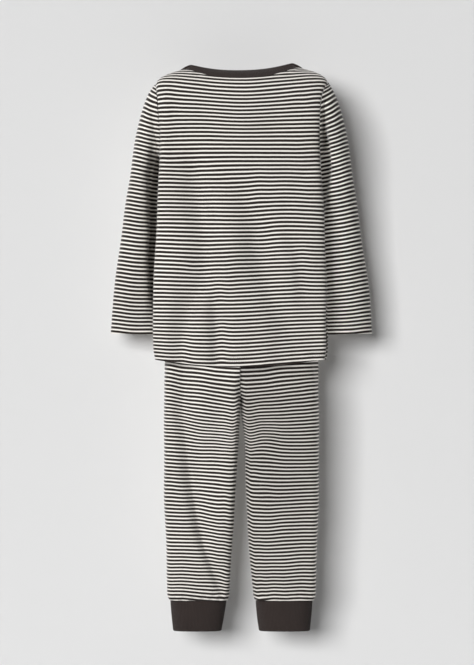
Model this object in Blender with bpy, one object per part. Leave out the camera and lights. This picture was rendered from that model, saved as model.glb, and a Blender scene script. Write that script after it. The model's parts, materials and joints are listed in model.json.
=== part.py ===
import math

import bmesh
import bpy

# A child's pyjama set in striped jersey: a long-sleeved top over trousers, both filled out
# as if worn, with nothing inside.  Metres, +Z up.  The back of the set faces -Y and its left
# sleeve in the back view is at -X.  The origin lies between the shoulders, at the height
# where the shoulder slopes meet the neck.
#
# Every table below is in millimetres.  "down" is the distance below the origin, "back" and
# "front" are distances from the YZ origin line towards -Y and +Y, and the names in a table's
# columns tuple say what each number of a row is.

MM = 0.001

CLOTH_WALL = 1.6
RIB_WALL = 2.2
WAISTBAND_WALL = 3.0
SEAM_GAP = 0.3
HALF_GAP = SEAM_GAP / 2

# Side line of the top, and the front-to-back middle line of the trousers.
TOP_SIDE_Y = -5.0
TROUSER_SIDE_Y = 5.0

# Superellipse exponents: 2 is an ellipse, more is squarer.
BACK_SQUARENESS = 2.7
FRONT_SQUARENESS = 2.2
TROUSER_SQUARENESS = 2.5
CUFF_SQUARENESS = 2.5

# ---------------------------------------------------------------- body of the top
BODY_COLUMNS = ("down", "left", "right", "back", "front")
BODY = (
    (16.0, 120.6, 120.8, 47.0, 50.0),
    (24.0, 119.0, 115.6, 47.2, 50.0),
    (37.0, 117.6, 111.4, 47.6, 50.5),
    (60.0, 115.8, 109.0, 48.0, 51.0),
    (85.0, 113.2, 108.4, 48.5, 53.0),
    (105.0, 112.2, 109.2, 49.0, 55.0),
    (130.0, 113.4, 111.2, 49.0, 57.0),
    (165.0, 115.8, 113.4, 49.0, 59.0),
    (219.0, 118.6, 116.2, 48.5, 61.0),
    (270.0, 121.0, 118.2, 49.0, 62.5),
    (319.0, 122.6, 119.8, 50.5, 63.5),
    (386.0, 122.8, 121.2, 53.0, 63.5),
    (404.0, 119.6, 118.6, 53.2, 63.0),
    (414.0, 116.8, 116.4, 53.0, 62.5),
)
HEM_DOWN_SIDE = 402.5
HEM_DROP_BACK = 9.5
HEM_DROP_FRONT = 6.0

# Ridge of the shoulders, out from the middle; inside the neck it is only a guide line.
RIDGE_COLUMNS = ("out", "up")
RIDGE = (
    (0.0, 11.0),
    (60.0, 7.0),
    (86.0, 3.2),
    (101.0, -1.0),
    (111.0, -5.4),
    (117.0, -10.2),
    (121.0, -15.6),
)
SHOULDER_TILT = 1.6
SHOULDER_OUT = 121.0

ARMHOLE_MIDDLE_DOWN = 67.0
UNDERARM_DOWN = 118.0
ARMHOLE_HALF_DEPTH = 31.0

NECK_OUT = 86.0
NECK_BACK_DROP = 18.8
NECK_BACK_ROUNDNESS = 1.0
NECK_FRONT_DROP = 60.0
NECK_FRONT_ROUNDNESS = 0.8
NECK_FRACTION = NECK_OUT / SHOULDER_OUT

# Neck rib: a band that leans in from the neck seam to a smaller oval.
RIB_TOP_OUT = 70.5
RIB_TOP_BACK = 18.0
RIB_TOP_FRONT = 44.0
RIB_RISE = 8.8
RIB_FRONT_EXTRA_RISE = 3.0

# ---------------------------------------------------------------- sleeves
# Each ring crosses the sleeve from its outer end to its inner end.  "tuck" is how far the
# inner end reaches in behind the edge of the body, "middle" is the ring's centre in Y.
SLEEVE_COLUMNS = ("ring", "outer", "outer_down", "tuck", "inner_down", "middle", "depth")
SLEEVE = (
    (0, 121.6, 16.0, 0.0, 118.0, -5.0, 62.0),
    (1, 130.4, 31.0, -0.3, 119.2, -3.5, 67.0),
    (2, 138.0, 50.0, -0.6, 121.0, 0.0, 73.0),
    (3, 143.8, 71.0, -0.8, 123.5, 5.0, 78.0),
    (4, 148.6, 94.0, -0.4, 128.0, 11.0, 82.0),
    (5, 152.6, 119.0, 1.0, 136.0, 16.0, 84.0),
    (6, 157.0, 149.0, 3.5, 156.0, 20.0, 82.0),
    (7, 162.6, 186.0, 5.5, 188.0, 23.5, 77.0),
    (8, 168.0, 228.0, 6.5, 228.0, 26.0, 70.0),
    (9, 173.6, 272.0, 6.5, 272.0, 27.0, 61.0),
    (10, 178.8, 318.0, 6.5, 318.0, 27.0, 51.0),
    (11, 181.4, 366.0, 6.5, 368.0, 27.0, 42.0),
)
# The left sleeve hangs a little further out than the table, most at its hem.
LEFT_SLEEVE_SWING = 2.6
SLEEVE_CLEARANCE = 1.2
SLEEVE_CLEARANCE_DOWN = 136.0

# ---------------------------------------------------------------- trousers
CENTRE_SEAM_X = -2.0
WAIST_DOWN = 300.0
CROTCH_START_DOWN = 424.0
CROTCH_DOWN = 462.0
SEAT_START_DOWN = 396.0
SEAT_END_DOWN = 520.0

HIP_COLUMNS = ("down", "outer", "back", "front")
HIP = (
    (300.0, 97.0, 39.0, 49.0),
    (330.0, 99.6, 42.0, 52.0),
    (370.0, 104.2, 46.2, 55.5),
    (404.0, 107.6, 48.6, 57.5),
    (436.0, 108.5, 47.4, 56.5),
    (462.0, 108.5, 44.5, 54.0),
)
LEG_COLUMNS = ("down", "outer", "inner_left", "inner_right", "back", "front")
LEG = (
    (462.0, 108.5, 3.4, -0.6, 44.5, 54.0),
    (480.0, 108.5, 5.0, 0.8, 43.0, 52.8),
    (520.0, 108.5, 7.5, 5.6, 40.5, 50.5),
    (570.0, 108.4, 10.3, 6.4, 37.5, 48.5),
    (600.0, 107.9, 11.2, 7.4, 35.5, 46.5),
    (640.0, 106.6, 13.0, 9.6, 33.0, 44.0),
    (690.0, 104.7, 15.5, 13.2, 30.0, 41.0),
    (720.0, 104.2, 16.4, 15.6, 28.5, 39.5),
    (734.0, 103.2, 17.2, 17.0, 27.0, 38.5),
    (740.5, 101.2, 19.2, 18.8, 24.0, 36.0),
)
CUFF_COLUMNS = ("down", "outer", "inner_left", "inner_right", "back", "front")
CUFF = (
    (740.8, 99.6, 20.8, 19.9, 22.0, 34.0),
    (750.0, 98.8, 22.6, 20.6, 21.0, 33.0),
    (766.0, 97.4, 25.2, 22.2, 19.6, 31.6),
    (782.0, 95.6, 28.2, 24.6, 18.0, 30.0),
)
WAISTBAND_COLUMNS = ("down", "outer", "back", "front")
WAISTBAND = (
    (271.0, 94.6, 36.6, 46.6),
    (285.0, 95.4, 37.4, 47.4),
    (299.7, 96.8, 38.8, 48.8),
)

# ---------------------------------------------------------------- largest folds
# Soft troughs pressed into the back and the front of the cloth, from one end to the other.
FOLD_COLUMNS = ("x0", "down0", "x1", "down1", "half_width", "depth")
BODY_BACK_FOLDS = (
    (-46.0, 300.0, -37.0, 410.0, 13.0, 2.8),
    (30.0, 330.0, 46.0, 412.0, 16.0, 1.8),
    (-88.0, 275.0, -68.0, 372.0, 12.0, 1.6),
    (-12.0, 240.0, 58.0, 352.0, 15.0, 1.5),
    (100.0, 130.0, 62.0, 196.0, 12.0, 1.6),
    (-104.0, 132.0, -64.0, 206.0, 12.0, 1.6),
)
BODY_FRONT_FOLDS = (
    (40.0, 290.0, 32.0, 410.0, 14.0, 2.6),
    (-38.0, 320.0, -50.0, 410.0, 15.0, 2.0),
    (98.0, 132.0, 54.0, 214.0, 13.0, 1.8),
    (-98.0, 132.0, -58.0, 208.0, 13.0, 1.8),
)
LEG_BACK_FOLDS = (
    (-101.0, 430.0, -79.0, 560.0, 11.0, 3.0),
    (-79.0, 560.0, -56.0, 655.0, 11.0, 3.2),
    (-56.0, 655.0, -24.0, 720.0, 10.0, 2.4),
    (10.0, 462.0, 44.0, 508.0, 9.0, 2.2),
    (96.0, 440.0, 78.0, 560.0, 12.0, 1.8),
)
LEG_FRONT_FOLDS = (
    (8.0, 470.0, 50.0, 520.0, 10.0, 2.4),
    (-10.0, 468.0, -52.0, 522.0, 10.0, 2.4),
    (88.0, 560.0, 60.0, 680.0, 11.0, 2.4),
    (-86.0, 570.0, -58.0, 690.0, 11.0, 2.4),
)

# ---------------------------------------------------------------- mesh counts
NECK_COLUMNS_PER_SIDE = 8
SHOULDER_COLUMNS_PER_SIDE = 5
YOKE_ROWS = 5
ARMHOLE_ROWS = 5
BODY_ROWS = 12
SLEEVE_ROWS = 21
LEG_COLUMNS_AROUND = 20
HIP_ROWS = 4
CROTCH_ROWS = 5
LEG_ROWS = 13
RIB_STEPS = 4 * NECK_COLUMNS_PER_SIDE
CUFF_STEPS = 26
WAISTBAND_STEPS = 32

JERSEY_COLOUR = (0.33, 0.31, 0.29, 1.0)
RIB_COLOUR = (0.033, 0.026, 0.022, 1.0)
ELASTIC_COLOUR = (0.62, 0.6, 0.56, 1.0)


def slope_at(table, index, number):
    # Slope of one column at one row, from the rows on either side of it.
    low = max(index - 1, 0)
    high = min(index + 1, len(table) - 1)
    return (table[high][number] - table[low][number]) / (table[high][0] - table[low][0])


def row_at(table, columns, place):
    # Every named column at one place, on a smooth curve through the table's rows.
    place = min(max(place, table[0][0]), table[-1][0])
    index = 0
    while index < len(table) - 2 and table[index + 1][0] <= place:
        index += 1
    span = table[index + 1][0] - table[index][0]
    part = (place - table[index][0]) / span
    square = part * part
    cube = square * part
    values = {}
    for number, name in enumerate(columns):
        start = table[index][number] * (2 * cube - 3 * square + 1)
        end = table[index + 1][number] * (3 * square - 2 * cube)
        start_slope = slope_at(table, index, number) * span * (cube - 2 * square + part)
        end_slope = slope_at(table, index + 1, number) * span * (cube - square)
        values[name] = start + end + start_slope + end_slope
    return values


def power(value, exponent):
    # A power that keeps the sign of its base.
    return math.copysign(abs(value) ** exponent, value)


def fold_depth(folds, x, down):
    # How far the soft troughs press the cloth in at one place.
    total = 0.0
    for row in folds:
        fold = dict(zip(FOLD_COLUMNS, row))
        run_x = fold["x1"] - fold["x0"]
        run_down = fold["down1"] - fold["down0"]
        length = math.hypot(run_x, run_down)
        along = ((x - fold["x0"]) * run_x + (down - fold["down0"]) * run_down) / length
        across = ((x - fold["x0"]) * run_down - (down - fold["down0"]) * run_x) / length
        beyond = max(-along, along - length, 0.0)
        distance = math.hypot(across, beyond) / fold["half_width"]
        total += fold["depth"] * math.exp(-distance * distance)
    return total


def body_edge(down, x_side):
    # Half width of the body at one height: to the armhole seam, or to the side seam.
    section = row_at(BODY, BODY_COLUMNS, down)
    return section["left"] if x_side < 0 else section["right"]


def body_seam_depth(down):
    # Distance in Y from the side line to the body's edge, which is the armhole higher up.
    if down >= UNDERARM_DOWN:
        return HALF_GAP
    part = (down - ARMHOLE_MIDDLE_DOWN) / (UNDERARM_DOWN - ARMHOLE_MIDDLE_DOWN)
    part = min(max(part, 0.0), 1.0)
    return max(ARMHOLE_HALF_DEPTH * math.sqrt(1 - part * part), HALF_GAP)


def body_depth(fraction, down, face, inset):
    # Distance in Y from the side line to the cloth, at a fraction of the half width.
    section = row_at(BODY, BODY_COLUMNS, down)
    if face < 0:
        squareness = BACK_SQUARENESS
        middle = section["back"] + TOP_SIDE_Y
    else:
        squareness = FRONT_SQUARENESS
        middle = section["front"] - TOP_SIDE_Y
    reach = (1 - (body_seam_depth(down) / middle) ** squareness) ** (1 / squareness)
    crown = (1 - abs(fraction * reach) ** squareness) ** (1 / squareness)
    return (middle - inset) * crown


def ridge_up(fraction):
    # Height of the shoulder ridge at a fraction of the shoulder's half width.
    ridge = row_at(RIDGE, RIDGE_COLUMNS, abs(fraction) * SHOULDER_OUT)
    return ridge["up"] + SHOULDER_TILT * fraction


def neck_angle(fraction, face):
    # How far round from the ridge the neckline cuts the cloth.
    if abs(fraction) >= NECK_FRACTION:
        return 0.0
    oval = 1 - (fraction / NECK_FRACTION) ** 2
    if face < 0:
        drop = NECK_BACK_DROP * oval ** NECK_BACK_ROUNDNESS
    else:
        drop = NECK_FRONT_DROP * oval ** NECK_FRONT_ROUNDNESS
    return math.acos(1 - drop / (ridge_up(fraction) + ARMHOLE_MIDDLE_DOWN))


def yoke_point(fraction, angle, face, inset):
    # Cloth over the shoulder: a quarter of an ellipse from the ridge to armhole level.
    ridge = ridge_up(fraction) - inset
    depth = body_depth(fraction, ARMHOLE_MIDDLE_DOWN, face, inset)
    z = ridge - (ridge + ARMHOLE_MIDDLE_DOWN) * (1 - math.cos(angle))
    y = TOP_SIDE_Y + face * max(depth * math.sin(angle), HALF_GAP)
    x = fraction * (body_edge(-z, fraction) - inset)
    return x, y, z


def body_point(fraction, row, face, inset):
    # A point of the back or front panel; row counts down from the shoulder and neck edge.
    if row <= YOKE_ROWS:
        start = neck_angle(fraction, face)
        angle = start + (math.pi / 2 - start) * row / YOKE_ROWS
        return yoke_point(fraction, angle, face, inset)
    if row <= YOKE_ROWS + ARMHOLE_ROWS:
        turn = (row - YOKE_ROWS) / ARMHOLE_ROWS * math.pi / 2
        drop = UNDERARM_DOWN - ARMHOLE_MIDDLE_DOWN
        down = ARMHOLE_MIDDLE_DOWN + drop * math.sin(turn)
    else:
        part = (row - YOKE_ROWS - ARMHOLE_ROWS) / BODY_ROWS
        hem_drop = HEM_DROP_BACK if face < 0 else HEM_DROP_FRONT
        hem = HEM_DOWN_SIDE + hem_drop * (1 - fraction * fraction)
        down = UNDERARM_DOWN + (hem - UNDERARM_DOWN) * part
    x = fraction * (body_edge(down, fraction) - inset)
    depth = body_depth(fraction, down, face, inset)
    folds = BODY_BACK_FOLDS if face < 0 else BODY_FRONT_FOLDS
    pressed = fold_depth(folds, x, down) * (1 - fraction ** 4)
    return x, TOP_SIDE_Y + face * max(depth - pressed, HALF_GAP), -down


def body_fraction(column):
    # Fraction of the half width for a grid column.  The columns under the neck are spaced
    # as the rib's steps are, and the rest close up towards the side seam.
    side = math.copysign(1.0, column)
    count = abs(column)
    if count <= NECK_COLUMNS_PER_SIDE:
        turn = count / NECK_COLUMNS_PER_SIDE * math.pi / 2
        return side * NECK_FRACTION * math.sin(turn)
    start = math.asin(NECK_FRACTION ** (BACK_SQUARENESS / 2))
    part = (count - NECK_COLUMNS_PER_SIDE) / SHOULDER_COLUMNS_PER_SIDE
    angle = start + (math.pi / 2 - start) * part
    return side * min(math.sin(angle) ** (2 / BACK_SQUARENESS), 1.0)


def rib_point(turn, height, inset):
    # Neck rib: from the neck seam, at height 0, to the free folded edge, at height 1.
    face = -1 if math.sin(turn) < 0 else 1
    fraction = NECK_FRACTION * math.cos(turn)
    seam_inset = CLOTH_WALL if inset > 0 else 0.0
    seam = yoke_point(fraction, neck_angle(fraction, face), face, seam_inset)
    reach = RIB_TOP_BACK if face < 0 else RIB_TOP_FRONT
    front_share = max(math.sin(turn), 0.0)
    outer_seam = yoke_point(fraction, neck_angle(fraction, face), face, 0.0)
    top_x = (RIB_TOP_OUT - inset * 0.6) * math.cos(turn)
    top_y = TOP_SIDE_Y + (reach - inset * 0.6) * math.sin(turn)
    top_z = outer_seam[2] + RIB_RISE + RIB_FRONT_EXTRA_RISE * front_share - inset * 0.8
    if abs(math.sin(turn)) < 1e-6:
        seam = (seam[0], TOP_SIDE_Y, seam[2])
    start = SEAM_GAP / 12.0
    share = start + (1 - start) * height
    return (
        seam[0] + (top_x - seam[0]) * share,
        seam[1] + (top_y - seam[1]) * share,
        seam[2] + (top_z - seam[2]) * share,
    )


def clear_of_body(side, x, y, down, inset):
    # Keep a sleeve point outside the body's wall, where the sleeve hangs against it.
    if down <= UNDERARM_DOWN:
        return x
    run = (down - UNDERARM_DOWN) / (SLEEVE_CLEARANCE_DOWN - UNDERARM_DOWN)
    clearance = SEAM_GAP + (SLEEVE_CLEARANCE - SEAM_GAP) * min(run, 1.0) + inset
    section = row_at(BODY, BODY_COLUMNS, down)
    if y < TOP_SIDE_Y:
        reach = section["back"] + TOP_SIDE_Y
        squareness = BACK_SQUARENESS
    else:
        reach = section["front"] - TOP_SIDE_Y
        squareness = FRONT_SQUARENESS
    off = abs(y - TOP_SIDE_Y) / reach
    if off >= 1.0:
        return x
    width = body_edge(down, side) * (1 - off ** squareness) ** (1 / squareness)
    return side * max(abs(x), width + clearance)


def sleeve_point(side, turn, place, inset):
    # A point of one sleeve; turn 0 is its outer side, -pi to 0 its back, 0 to pi its front.
    ring = row_at(SLEEVE, SLEEVE_COLUMNS, place)
    inner = body_edge(ring["inner_down"], side) + SEAM_GAP - ring["tuck"]
    tilt = SHOULDER_TILT * side * max(1 - place, 0.0)
    outer_down = ring["outer_down"] - tilt
    outer = ring["outer"]
    if side < 0:
        outer += LEFT_SLEEVE_SWING * (place / SLEEVE[-1][0]) ** 3
    half_x = (outer - inner) / 2
    half_down = (outer_down - ring["inner_down"]) / 2
    half_length = math.hypot(half_x, half_down)
    swing = math.cos(turn) * (half_length - inset) / half_length
    x = (outer + inner) / 2 + half_x * swing
    down = (outer_down + ring["inner_down"]) / 2 + half_down * swing
    if place < 1:
        upper = -ridge_up(side) + inset
        if math.cos(turn) > 0:
            seam_down = ARMHOLE_MIDDLE_DOWN - (ARMHOLE_MIDDLE_DOWN - upper) * math.cos(turn)
        else:
            drop = UNDERARM_DOWN - ARMHOLE_MIDDLE_DOWN - inset
            seam_down = ARMHOLE_MIDDLE_DOWN - drop * math.cos(turn)
        seam_x = body_edge(seam_down, side) + SEAM_GAP
        x = seam_x + (x - seam_x) * place
        down = seam_down + (down - seam_down) * place
    depth = ring["depth"] / 2 - inset
    face = -1 if turn < 0 else 1
    y = ring["middle"] + face * max(depth * abs(math.sin(turn)), HALF_GAP)
    return clear_of_body(side, side * x, y, down, inset), y, -down


def seat_share(around, down, seam_closed):
    # How far a point has turned from the hips' section, 0, to a whole leg's, 1.  The edges
    # follow the crotch curve, and the cloth away from them turns more slowly.
    run = (down - SEAT_START_DOWN) / (SEAT_END_DOWN - SEAT_START_DOWN)
    run = min(max(run, 0.0), 1.0)
    eased = run * run * (3 - 2 * run)
    off_seam = 1 - (1 - math.sin(math.pi * around)) ** 2
    return seam_closed + (eased - seam_closed) * off_seam


def trouser_section(side, around, down, seam_closed, inset):
    # A point of one leg's section; around runs 0 to 1 from the back seam to the front seam.
    closed = seat_share(around, down, seam_closed)
    hip = row_at(HIP, HIP_COLUMNS, down)
    leg = row_at(LEG, LEG_COLUMNS, down)
    face = -1 if around < 0.5 else 1
    flat = 2 / TROUSER_SQUARENESS
    centre = side * CENTRE_SEAM_X
    key = "back" if face < 0 else "front"
    hip_reach = hip[key] - face * TROUSER_SIDE_Y - inset
    hip_turn = (around - 0.5) * math.pi
    hip_x = centre + (hip["outer"] - inset - centre) * power(math.cos(hip_turn), flat)
    hip_y = hip_reach * abs(math.sin(hip_turn)) ** flat
    inner = leg["inner_left"] if side < 0 else leg["inner_right"]
    leg_reach = leg[key] - face * TROUSER_SIDE_Y - inset
    leg_turn = (around - 0.5) * 2 * math.pi
    half = (leg["outer"] - inner) / 2 - inset
    leg_x = (leg["outer"] + inner) / 2 + half * power(math.cos(leg_turn), flat)
    leg_y = leg_reach * abs(math.sin(leg_turn)) ** flat
    x = hip_x + (leg_x - hip_x) * closed
    x = max(x, centre + HALF_GAP)
    offset = hip_y + (leg_y - hip_y) * closed
    folds = LEG_BACK_FOLDS if face < 0 else LEG_FRONT_FOLDS
    facing = min(offset / hip_reach, 1.0) ** 2
    offset = max(offset - fold_depth(folds, side * x, down) * facing, HALF_GAP)
    return side * x, TROUSER_SIDE_Y + face * offset, -down


def leg_point(side, around, row, inset):
    # A point of one trouser leg; row counts down from the waist.
    if row <= HIP_ROWS:
        down = WAIST_DOWN + (CROTCH_START_DOWN - WAIST_DOWN) * row / HIP_ROWS
        return trouser_section(side, around, down, 0.0, inset)
    if row <= HIP_ROWS + CROTCH_ROWS:
        turn = (row - HIP_ROWS) / CROTCH_ROWS * math.pi / 2
        drop = CROTCH_DOWN - CROTCH_START_DOWN
        down = CROTCH_START_DOWN + drop * math.sin(turn)
        return trouser_section(side, around, down, 1 - math.cos(turn), inset)
    part = (row - HIP_ROWS - CROTCH_ROWS) / LEG_ROWS
    part = 1 - (1 - part) ** 1.15
    down = CROTCH_DOWN + (LEG[-1][0] - CROTCH_DOWN) * part
    return trouser_section(side, around, down, 1.0, inset)


def cuff_point(side, turn, height, inset):
    # A point of one ankle cuff; height 0 is its seam and 1 its folded lower edge.
    down = CUFF[0][0] + (CUFF[-1][0] - CUFF[0][0]) * height
    cuff = row_at(CUFF, CUFF_COLUMNS, down)
    inner = cuff["inner_left"] if side < 0 else cuff["inner_right"]
    half = (cuff["outer"] - inner) / 2 - inset
    flat = 2 / CUFF_SQUARENESS
    face = -1 if math.sin(turn) < 0 else 1
    reach = cuff["back" if face < 0 else "front"] - face * TROUSER_SIDE_Y - inset
    x = (cuff["outer"] + inner) / 2 + half * power(math.cos(turn), flat)
    y = TROUSER_SIDE_Y + face * reach * abs(math.sin(turn)) ** flat
    return side * x, y, -down


def waistband_point(turn, height, inset):
    # A point of the elasticated waistband; height 0 is its upper edge.
    down = WAISTBAND[0][0] + (WAISTBAND[-1][0] - WAISTBAND[0][0]) * height
    band = row_at(WAISTBAND, WAISTBAND_COLUMNS, down)
    flat = 2 / TROUSER_SQUARENESS
    face = -1 if math.sin(turn) < 0 else 1
    reach = band["back" if face < 0 else "front"] - face * TROUSER_SIDE_Y - inset
    x = (band["outer"] - inset) * power(math.cos(turn), flat)
    y = TROUSER_SIDE_Y + face * reach * abs(math.sin(turn)) ** flat
    return x, y, -down


def finish_piece(mesh_data, name, material, collection):
    # Turn a closed bmesh, whose bending may have mirrored it, into a named object.
    bmesh.ops.recalc_face_normals(mesh_data, faces=mesh_data.faces[:])
    if mesh_data.calc_volume(signed=True) < 0:
        bmesh.ops.reverse_faces(mesh_data, faces=mesh_data.faces[:])
    mesh = bpy.data.meshes.new(name)
    mesh_data.to_mesh(mesh)
    mesh_data.free()
    mesh.shade_smooth()
    mesh.set_sharp_from_angle(angle=math.radians(45))
    mesh.materials.append(material)
    piece = bpy.data.objects.new(name, mesh)
    collection.objects.link(piece)
    return piece


def make_panel(name, columns, rows, wall, place, material, collection):
    # A cut piece of cloth: a flat slab of columns by rows, then bent to its place.
    # place(column, row, inset) gives millimetres, with the inset 0 outside and wall inside.
    slab = bmesh.new()
    bmesh.ops.create_grid(slab, x_segments=columns, y_segments=rows, size=0.5)
    kept = bmesh.ops.extrude_face_region(slab, geom=slab.faces[:], use_keep_orig=True)
    lower = [part for part in kept["geom"] if isinstance(part, bmesh.types.BMVert)]
    bmesh.ops.translate(slab, verts=lower, vec=(0.0, 0.0, -1.0))
    for vertex in slab.verts:
        column = round((vertex.co.x + 0.5) * columns)
        row = round((vertex.co.y + 0.5) * rows)
        inset = wall if vertex.co.z < -0.5 else 0.0
        point = place(column, row, inset)
        vertex.co = [value * MM for value in point]
    return finish_piece(slab, name, material, collection)


def make_ring(name, steps, bands, wall, place, material, collection):
    # A ring of rib or elastic: a flat-sided tube spun round, then fitted to its oval.
    # place(turn, height, inset) gives millimetres.
    ring = bmesh.new()
    corners = []
    for band in range(bands + 1):
        corners.append(ring.verts.new((2.0, 0.0, -band / bands)))
    for band in range(bands, -1, -1):
        corners.append(ring.verts.new((1.0, 0.0, -band / bands)))
    profile = []
    for index, corner in enumerate(corners):
        profile.append(ring.edges.new((corner, corners[(index + 1) % len(corners)])))
    bmesh.ops.spin(
        ring,
        geom=corners + profile,
        cent=(0.0, 0.0, 0.0),
        axis=(0.0, 0.0, 1.0),
        angle=2 * math.pi,
        steps=steps,
        use_merge=True,
    )
    for vertex in ring.verts:
        turn = math.atan2(vertex.co.y, vertex.co.x)
        turn = round(turn / (2 * math.pi) * steps) * 2 * math.pi / steps
        inset = wall if math.hypot(vertex.co.x, vertex.co.y) < 1.5 else 0.0
        point = place(turn, -vertex.co.z, inset)
        vertex.co = [value * MM for value in point]
    return finish_piece(ring, name, material, collection)


def make_material(name, colour, roughness):
    material = bpy.data.materials.new(name)
    material.use_nodes = True
    shader = material.node_tree.nodes["Principled BSDF"]
    shader.inputs["Base Color"].default_value = colour
    shader.inputs["Roughness"].default_value = roughness
    shader.inputs["Metallic"].default_value = 0.0
    return material


def make_body_panel(name, face, material, collection):
    columns_per_side = NECK_COLUMNS_PER_SIDE + SHOULDER_COLUMNS_PER_SIDE
    rows = YOKE_ROWS + ARMHOLE_ROWS + BODY_ROWS

    def place(column, row, inset):
        return body_point(body_fraction(column - columns_per_side), row, face, inset)

    make_panel(name, 2 * columns_per_side, rows, CLOTH_WALL, place, material, collection)


def make_sleeve(name, side, material, collection):
    columns = 2 * (YOKE_ROWS + ARMHOLE_ROWS)
    last_ring = SLEEVE[-1][0]

    def place(column, row, inset):
        turn = (column / columns - 0.5) * 2 * math.pi
        return sleeve_point(side, turn, last_ring * row / SLEEVE_ROWS, inset)

    make_panel(name, columns, SLEEVE_ROWS, CLOTH_WALL, place, material, collection)


def make_leg(name, side, material, collection):
    rows = HIP_ROWS + CROTCH_ROWS + LEG_ROWS

    def place(column, row, inset):
        return leg_point(side, column / LEG_COLUMNS_AROUND, row, inset)

    make_panel(name, LEG_COLUMNS_AROUND, rows, CLOTH_WALL, place, material, collection)


def make_cuff(name, side, material, collection):
    def place(turn, height, inset):
        return cuff_point(side, turn, height, inset)

    make_ring(name, CUFF_STEPS, 3, RIB_WALL, place, material, collection)


def build():
    for item in list(bpy.data.objects):
        bpy.data.objects.remove(item, do_unlink=True)
    pyjamas = bpy.data.collections.new("pyjama_set")
    bpy.context.scene.collection.children.link(pyjamas)
    jersey = make_material("striped_jersey", JERSEY_COLOUR, 0.9)
    rib = make_material("rib_knit", RIB_COLOUR, 0.92)
    elastic = make_material("covered_elastic", ELASTIC_COLOUR, 0.85)
    make_body_panel("top_back", -1, jersey, pyjamas)
    make_body_panel("top_front", 1, jersey, pyjamas)
    make_ring("neck_rib", RIB_STEPS, 2, RIB_WALL, rib_point, rib, pyjamas)
    make_ring("waistband", WAISTBAND_STEPS, 2, WAISTBAND_WALL, waistband_point, elastic, pyjamas)
    for side, word in ((-1, "left"), (1, "right")):
        make_sleeve("sleeve_" + word, side, jersey, pyjamas)
        make_leg("leg_" + word, side, jersey, pyjamas)
        make_cuff("cuff_" + word, side, rib, pyjamas)


build()
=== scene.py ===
import functools
import json
import math

import bmesh
import bpy
import numpy as np
from mathutils import Matrix, Vector

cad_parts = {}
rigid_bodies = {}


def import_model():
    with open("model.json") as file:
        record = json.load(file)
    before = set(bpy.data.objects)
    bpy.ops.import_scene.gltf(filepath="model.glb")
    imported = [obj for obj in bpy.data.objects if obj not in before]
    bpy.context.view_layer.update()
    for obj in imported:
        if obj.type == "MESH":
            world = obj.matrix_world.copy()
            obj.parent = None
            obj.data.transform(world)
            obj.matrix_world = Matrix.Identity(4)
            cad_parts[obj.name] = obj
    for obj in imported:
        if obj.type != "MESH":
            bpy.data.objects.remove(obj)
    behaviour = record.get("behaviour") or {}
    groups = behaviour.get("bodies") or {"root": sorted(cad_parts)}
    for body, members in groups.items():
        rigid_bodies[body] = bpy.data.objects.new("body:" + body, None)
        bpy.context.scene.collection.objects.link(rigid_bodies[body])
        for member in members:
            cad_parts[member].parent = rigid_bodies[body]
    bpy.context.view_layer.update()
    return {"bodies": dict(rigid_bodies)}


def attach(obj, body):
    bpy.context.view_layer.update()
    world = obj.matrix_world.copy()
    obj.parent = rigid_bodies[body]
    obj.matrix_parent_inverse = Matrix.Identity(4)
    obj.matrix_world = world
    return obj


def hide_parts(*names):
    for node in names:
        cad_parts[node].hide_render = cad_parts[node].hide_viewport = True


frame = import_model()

# Looks of a child's striped jersey pyjama set.  Lengths in the settings are millimetres, "down"
# is the distance below the origin between the shoulders, and the back of the set faces -Y.
# Every cloth piece is a thin closed shell on the form of the solid that it stands for.

mm = 0.001
body = list(frame["bodies"])[0]

fabric = {
    "solidWall": 1.6,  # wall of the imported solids, gives the direction of every wall here
    "wall": 1.15,  # brushed jersey with its nap
    "hemWall": 2.2,  # the turned hem is two layers
    "halfGap": 0.15,
    "period": 5.6,  # one dark and one light stripe
    "seamDepth": 0.7,  # how far the cloth rolls in at a sewn seam
    "seamWidth": 2.6,
    "hemGroove": (0.22, 1.6),  # depth and width where the turned hem ends
    "hemBlend": 0.6,
    "hemThinner": (0.35, 0.7),  # how much thinner the wall gets at its very edge, and how near
}


# Shared shape helpers

def smoothCurve(stops, values, place):
    # a smooth curve through the values at the stops, which may differ from place to place
    last = len(stops) - 1
    low = np.clip(np.searchsorted(stops, place, side="right") - 1, 0, last - 1)
    before = np.maximum(np.arange(last + 1) - 1, 0)
    after = np.minimum(np.arange(last + 1) + 1, last)
    slopes = (values[..., after] - values[..., before]) / (stops[after] - stops[before])
    span = stops[low + 1] - stops[low]
    t = (place - stops[low]) / span

    def pick(grid, index):
        return np.take_along_axis(grid, index[..., None], -1)[..., 0]

    start, end = 2 * t**3 - 3 * t**2 + 1, 3 * t**2 - 2 * t**3
    level = pick(values, low) * start + pick(values, low + 1) * end
    start, end = t**3 - 2 * t**2 + t, t**3 - t**2
    return level + (pick(slopes, low) * start + pick(slopes, low + 1) * end) * span


def rowAt(table, place):
    # every column of a table at one or many places, on a smooth curve through its rows
    rows = np.array(table["rows"], float)
    place = np.clip(place, rows[0, 0], rows[-1, 0])
    spread = np.broadcast_to(rows.T, np.shape(place) + rows.T.shape)
    return {
        name: smoothCurve(rows[:, 0], spread[..., number, :], place)
        for number, name in enumerate(table["columns"])
    }


def sideRow(settings, name, side, place):
    # the same for one of two tables with the same columns
    return rowAt({"columns": settings[name + "Columns"], "rows": settings[name][side]}, place)


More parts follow.
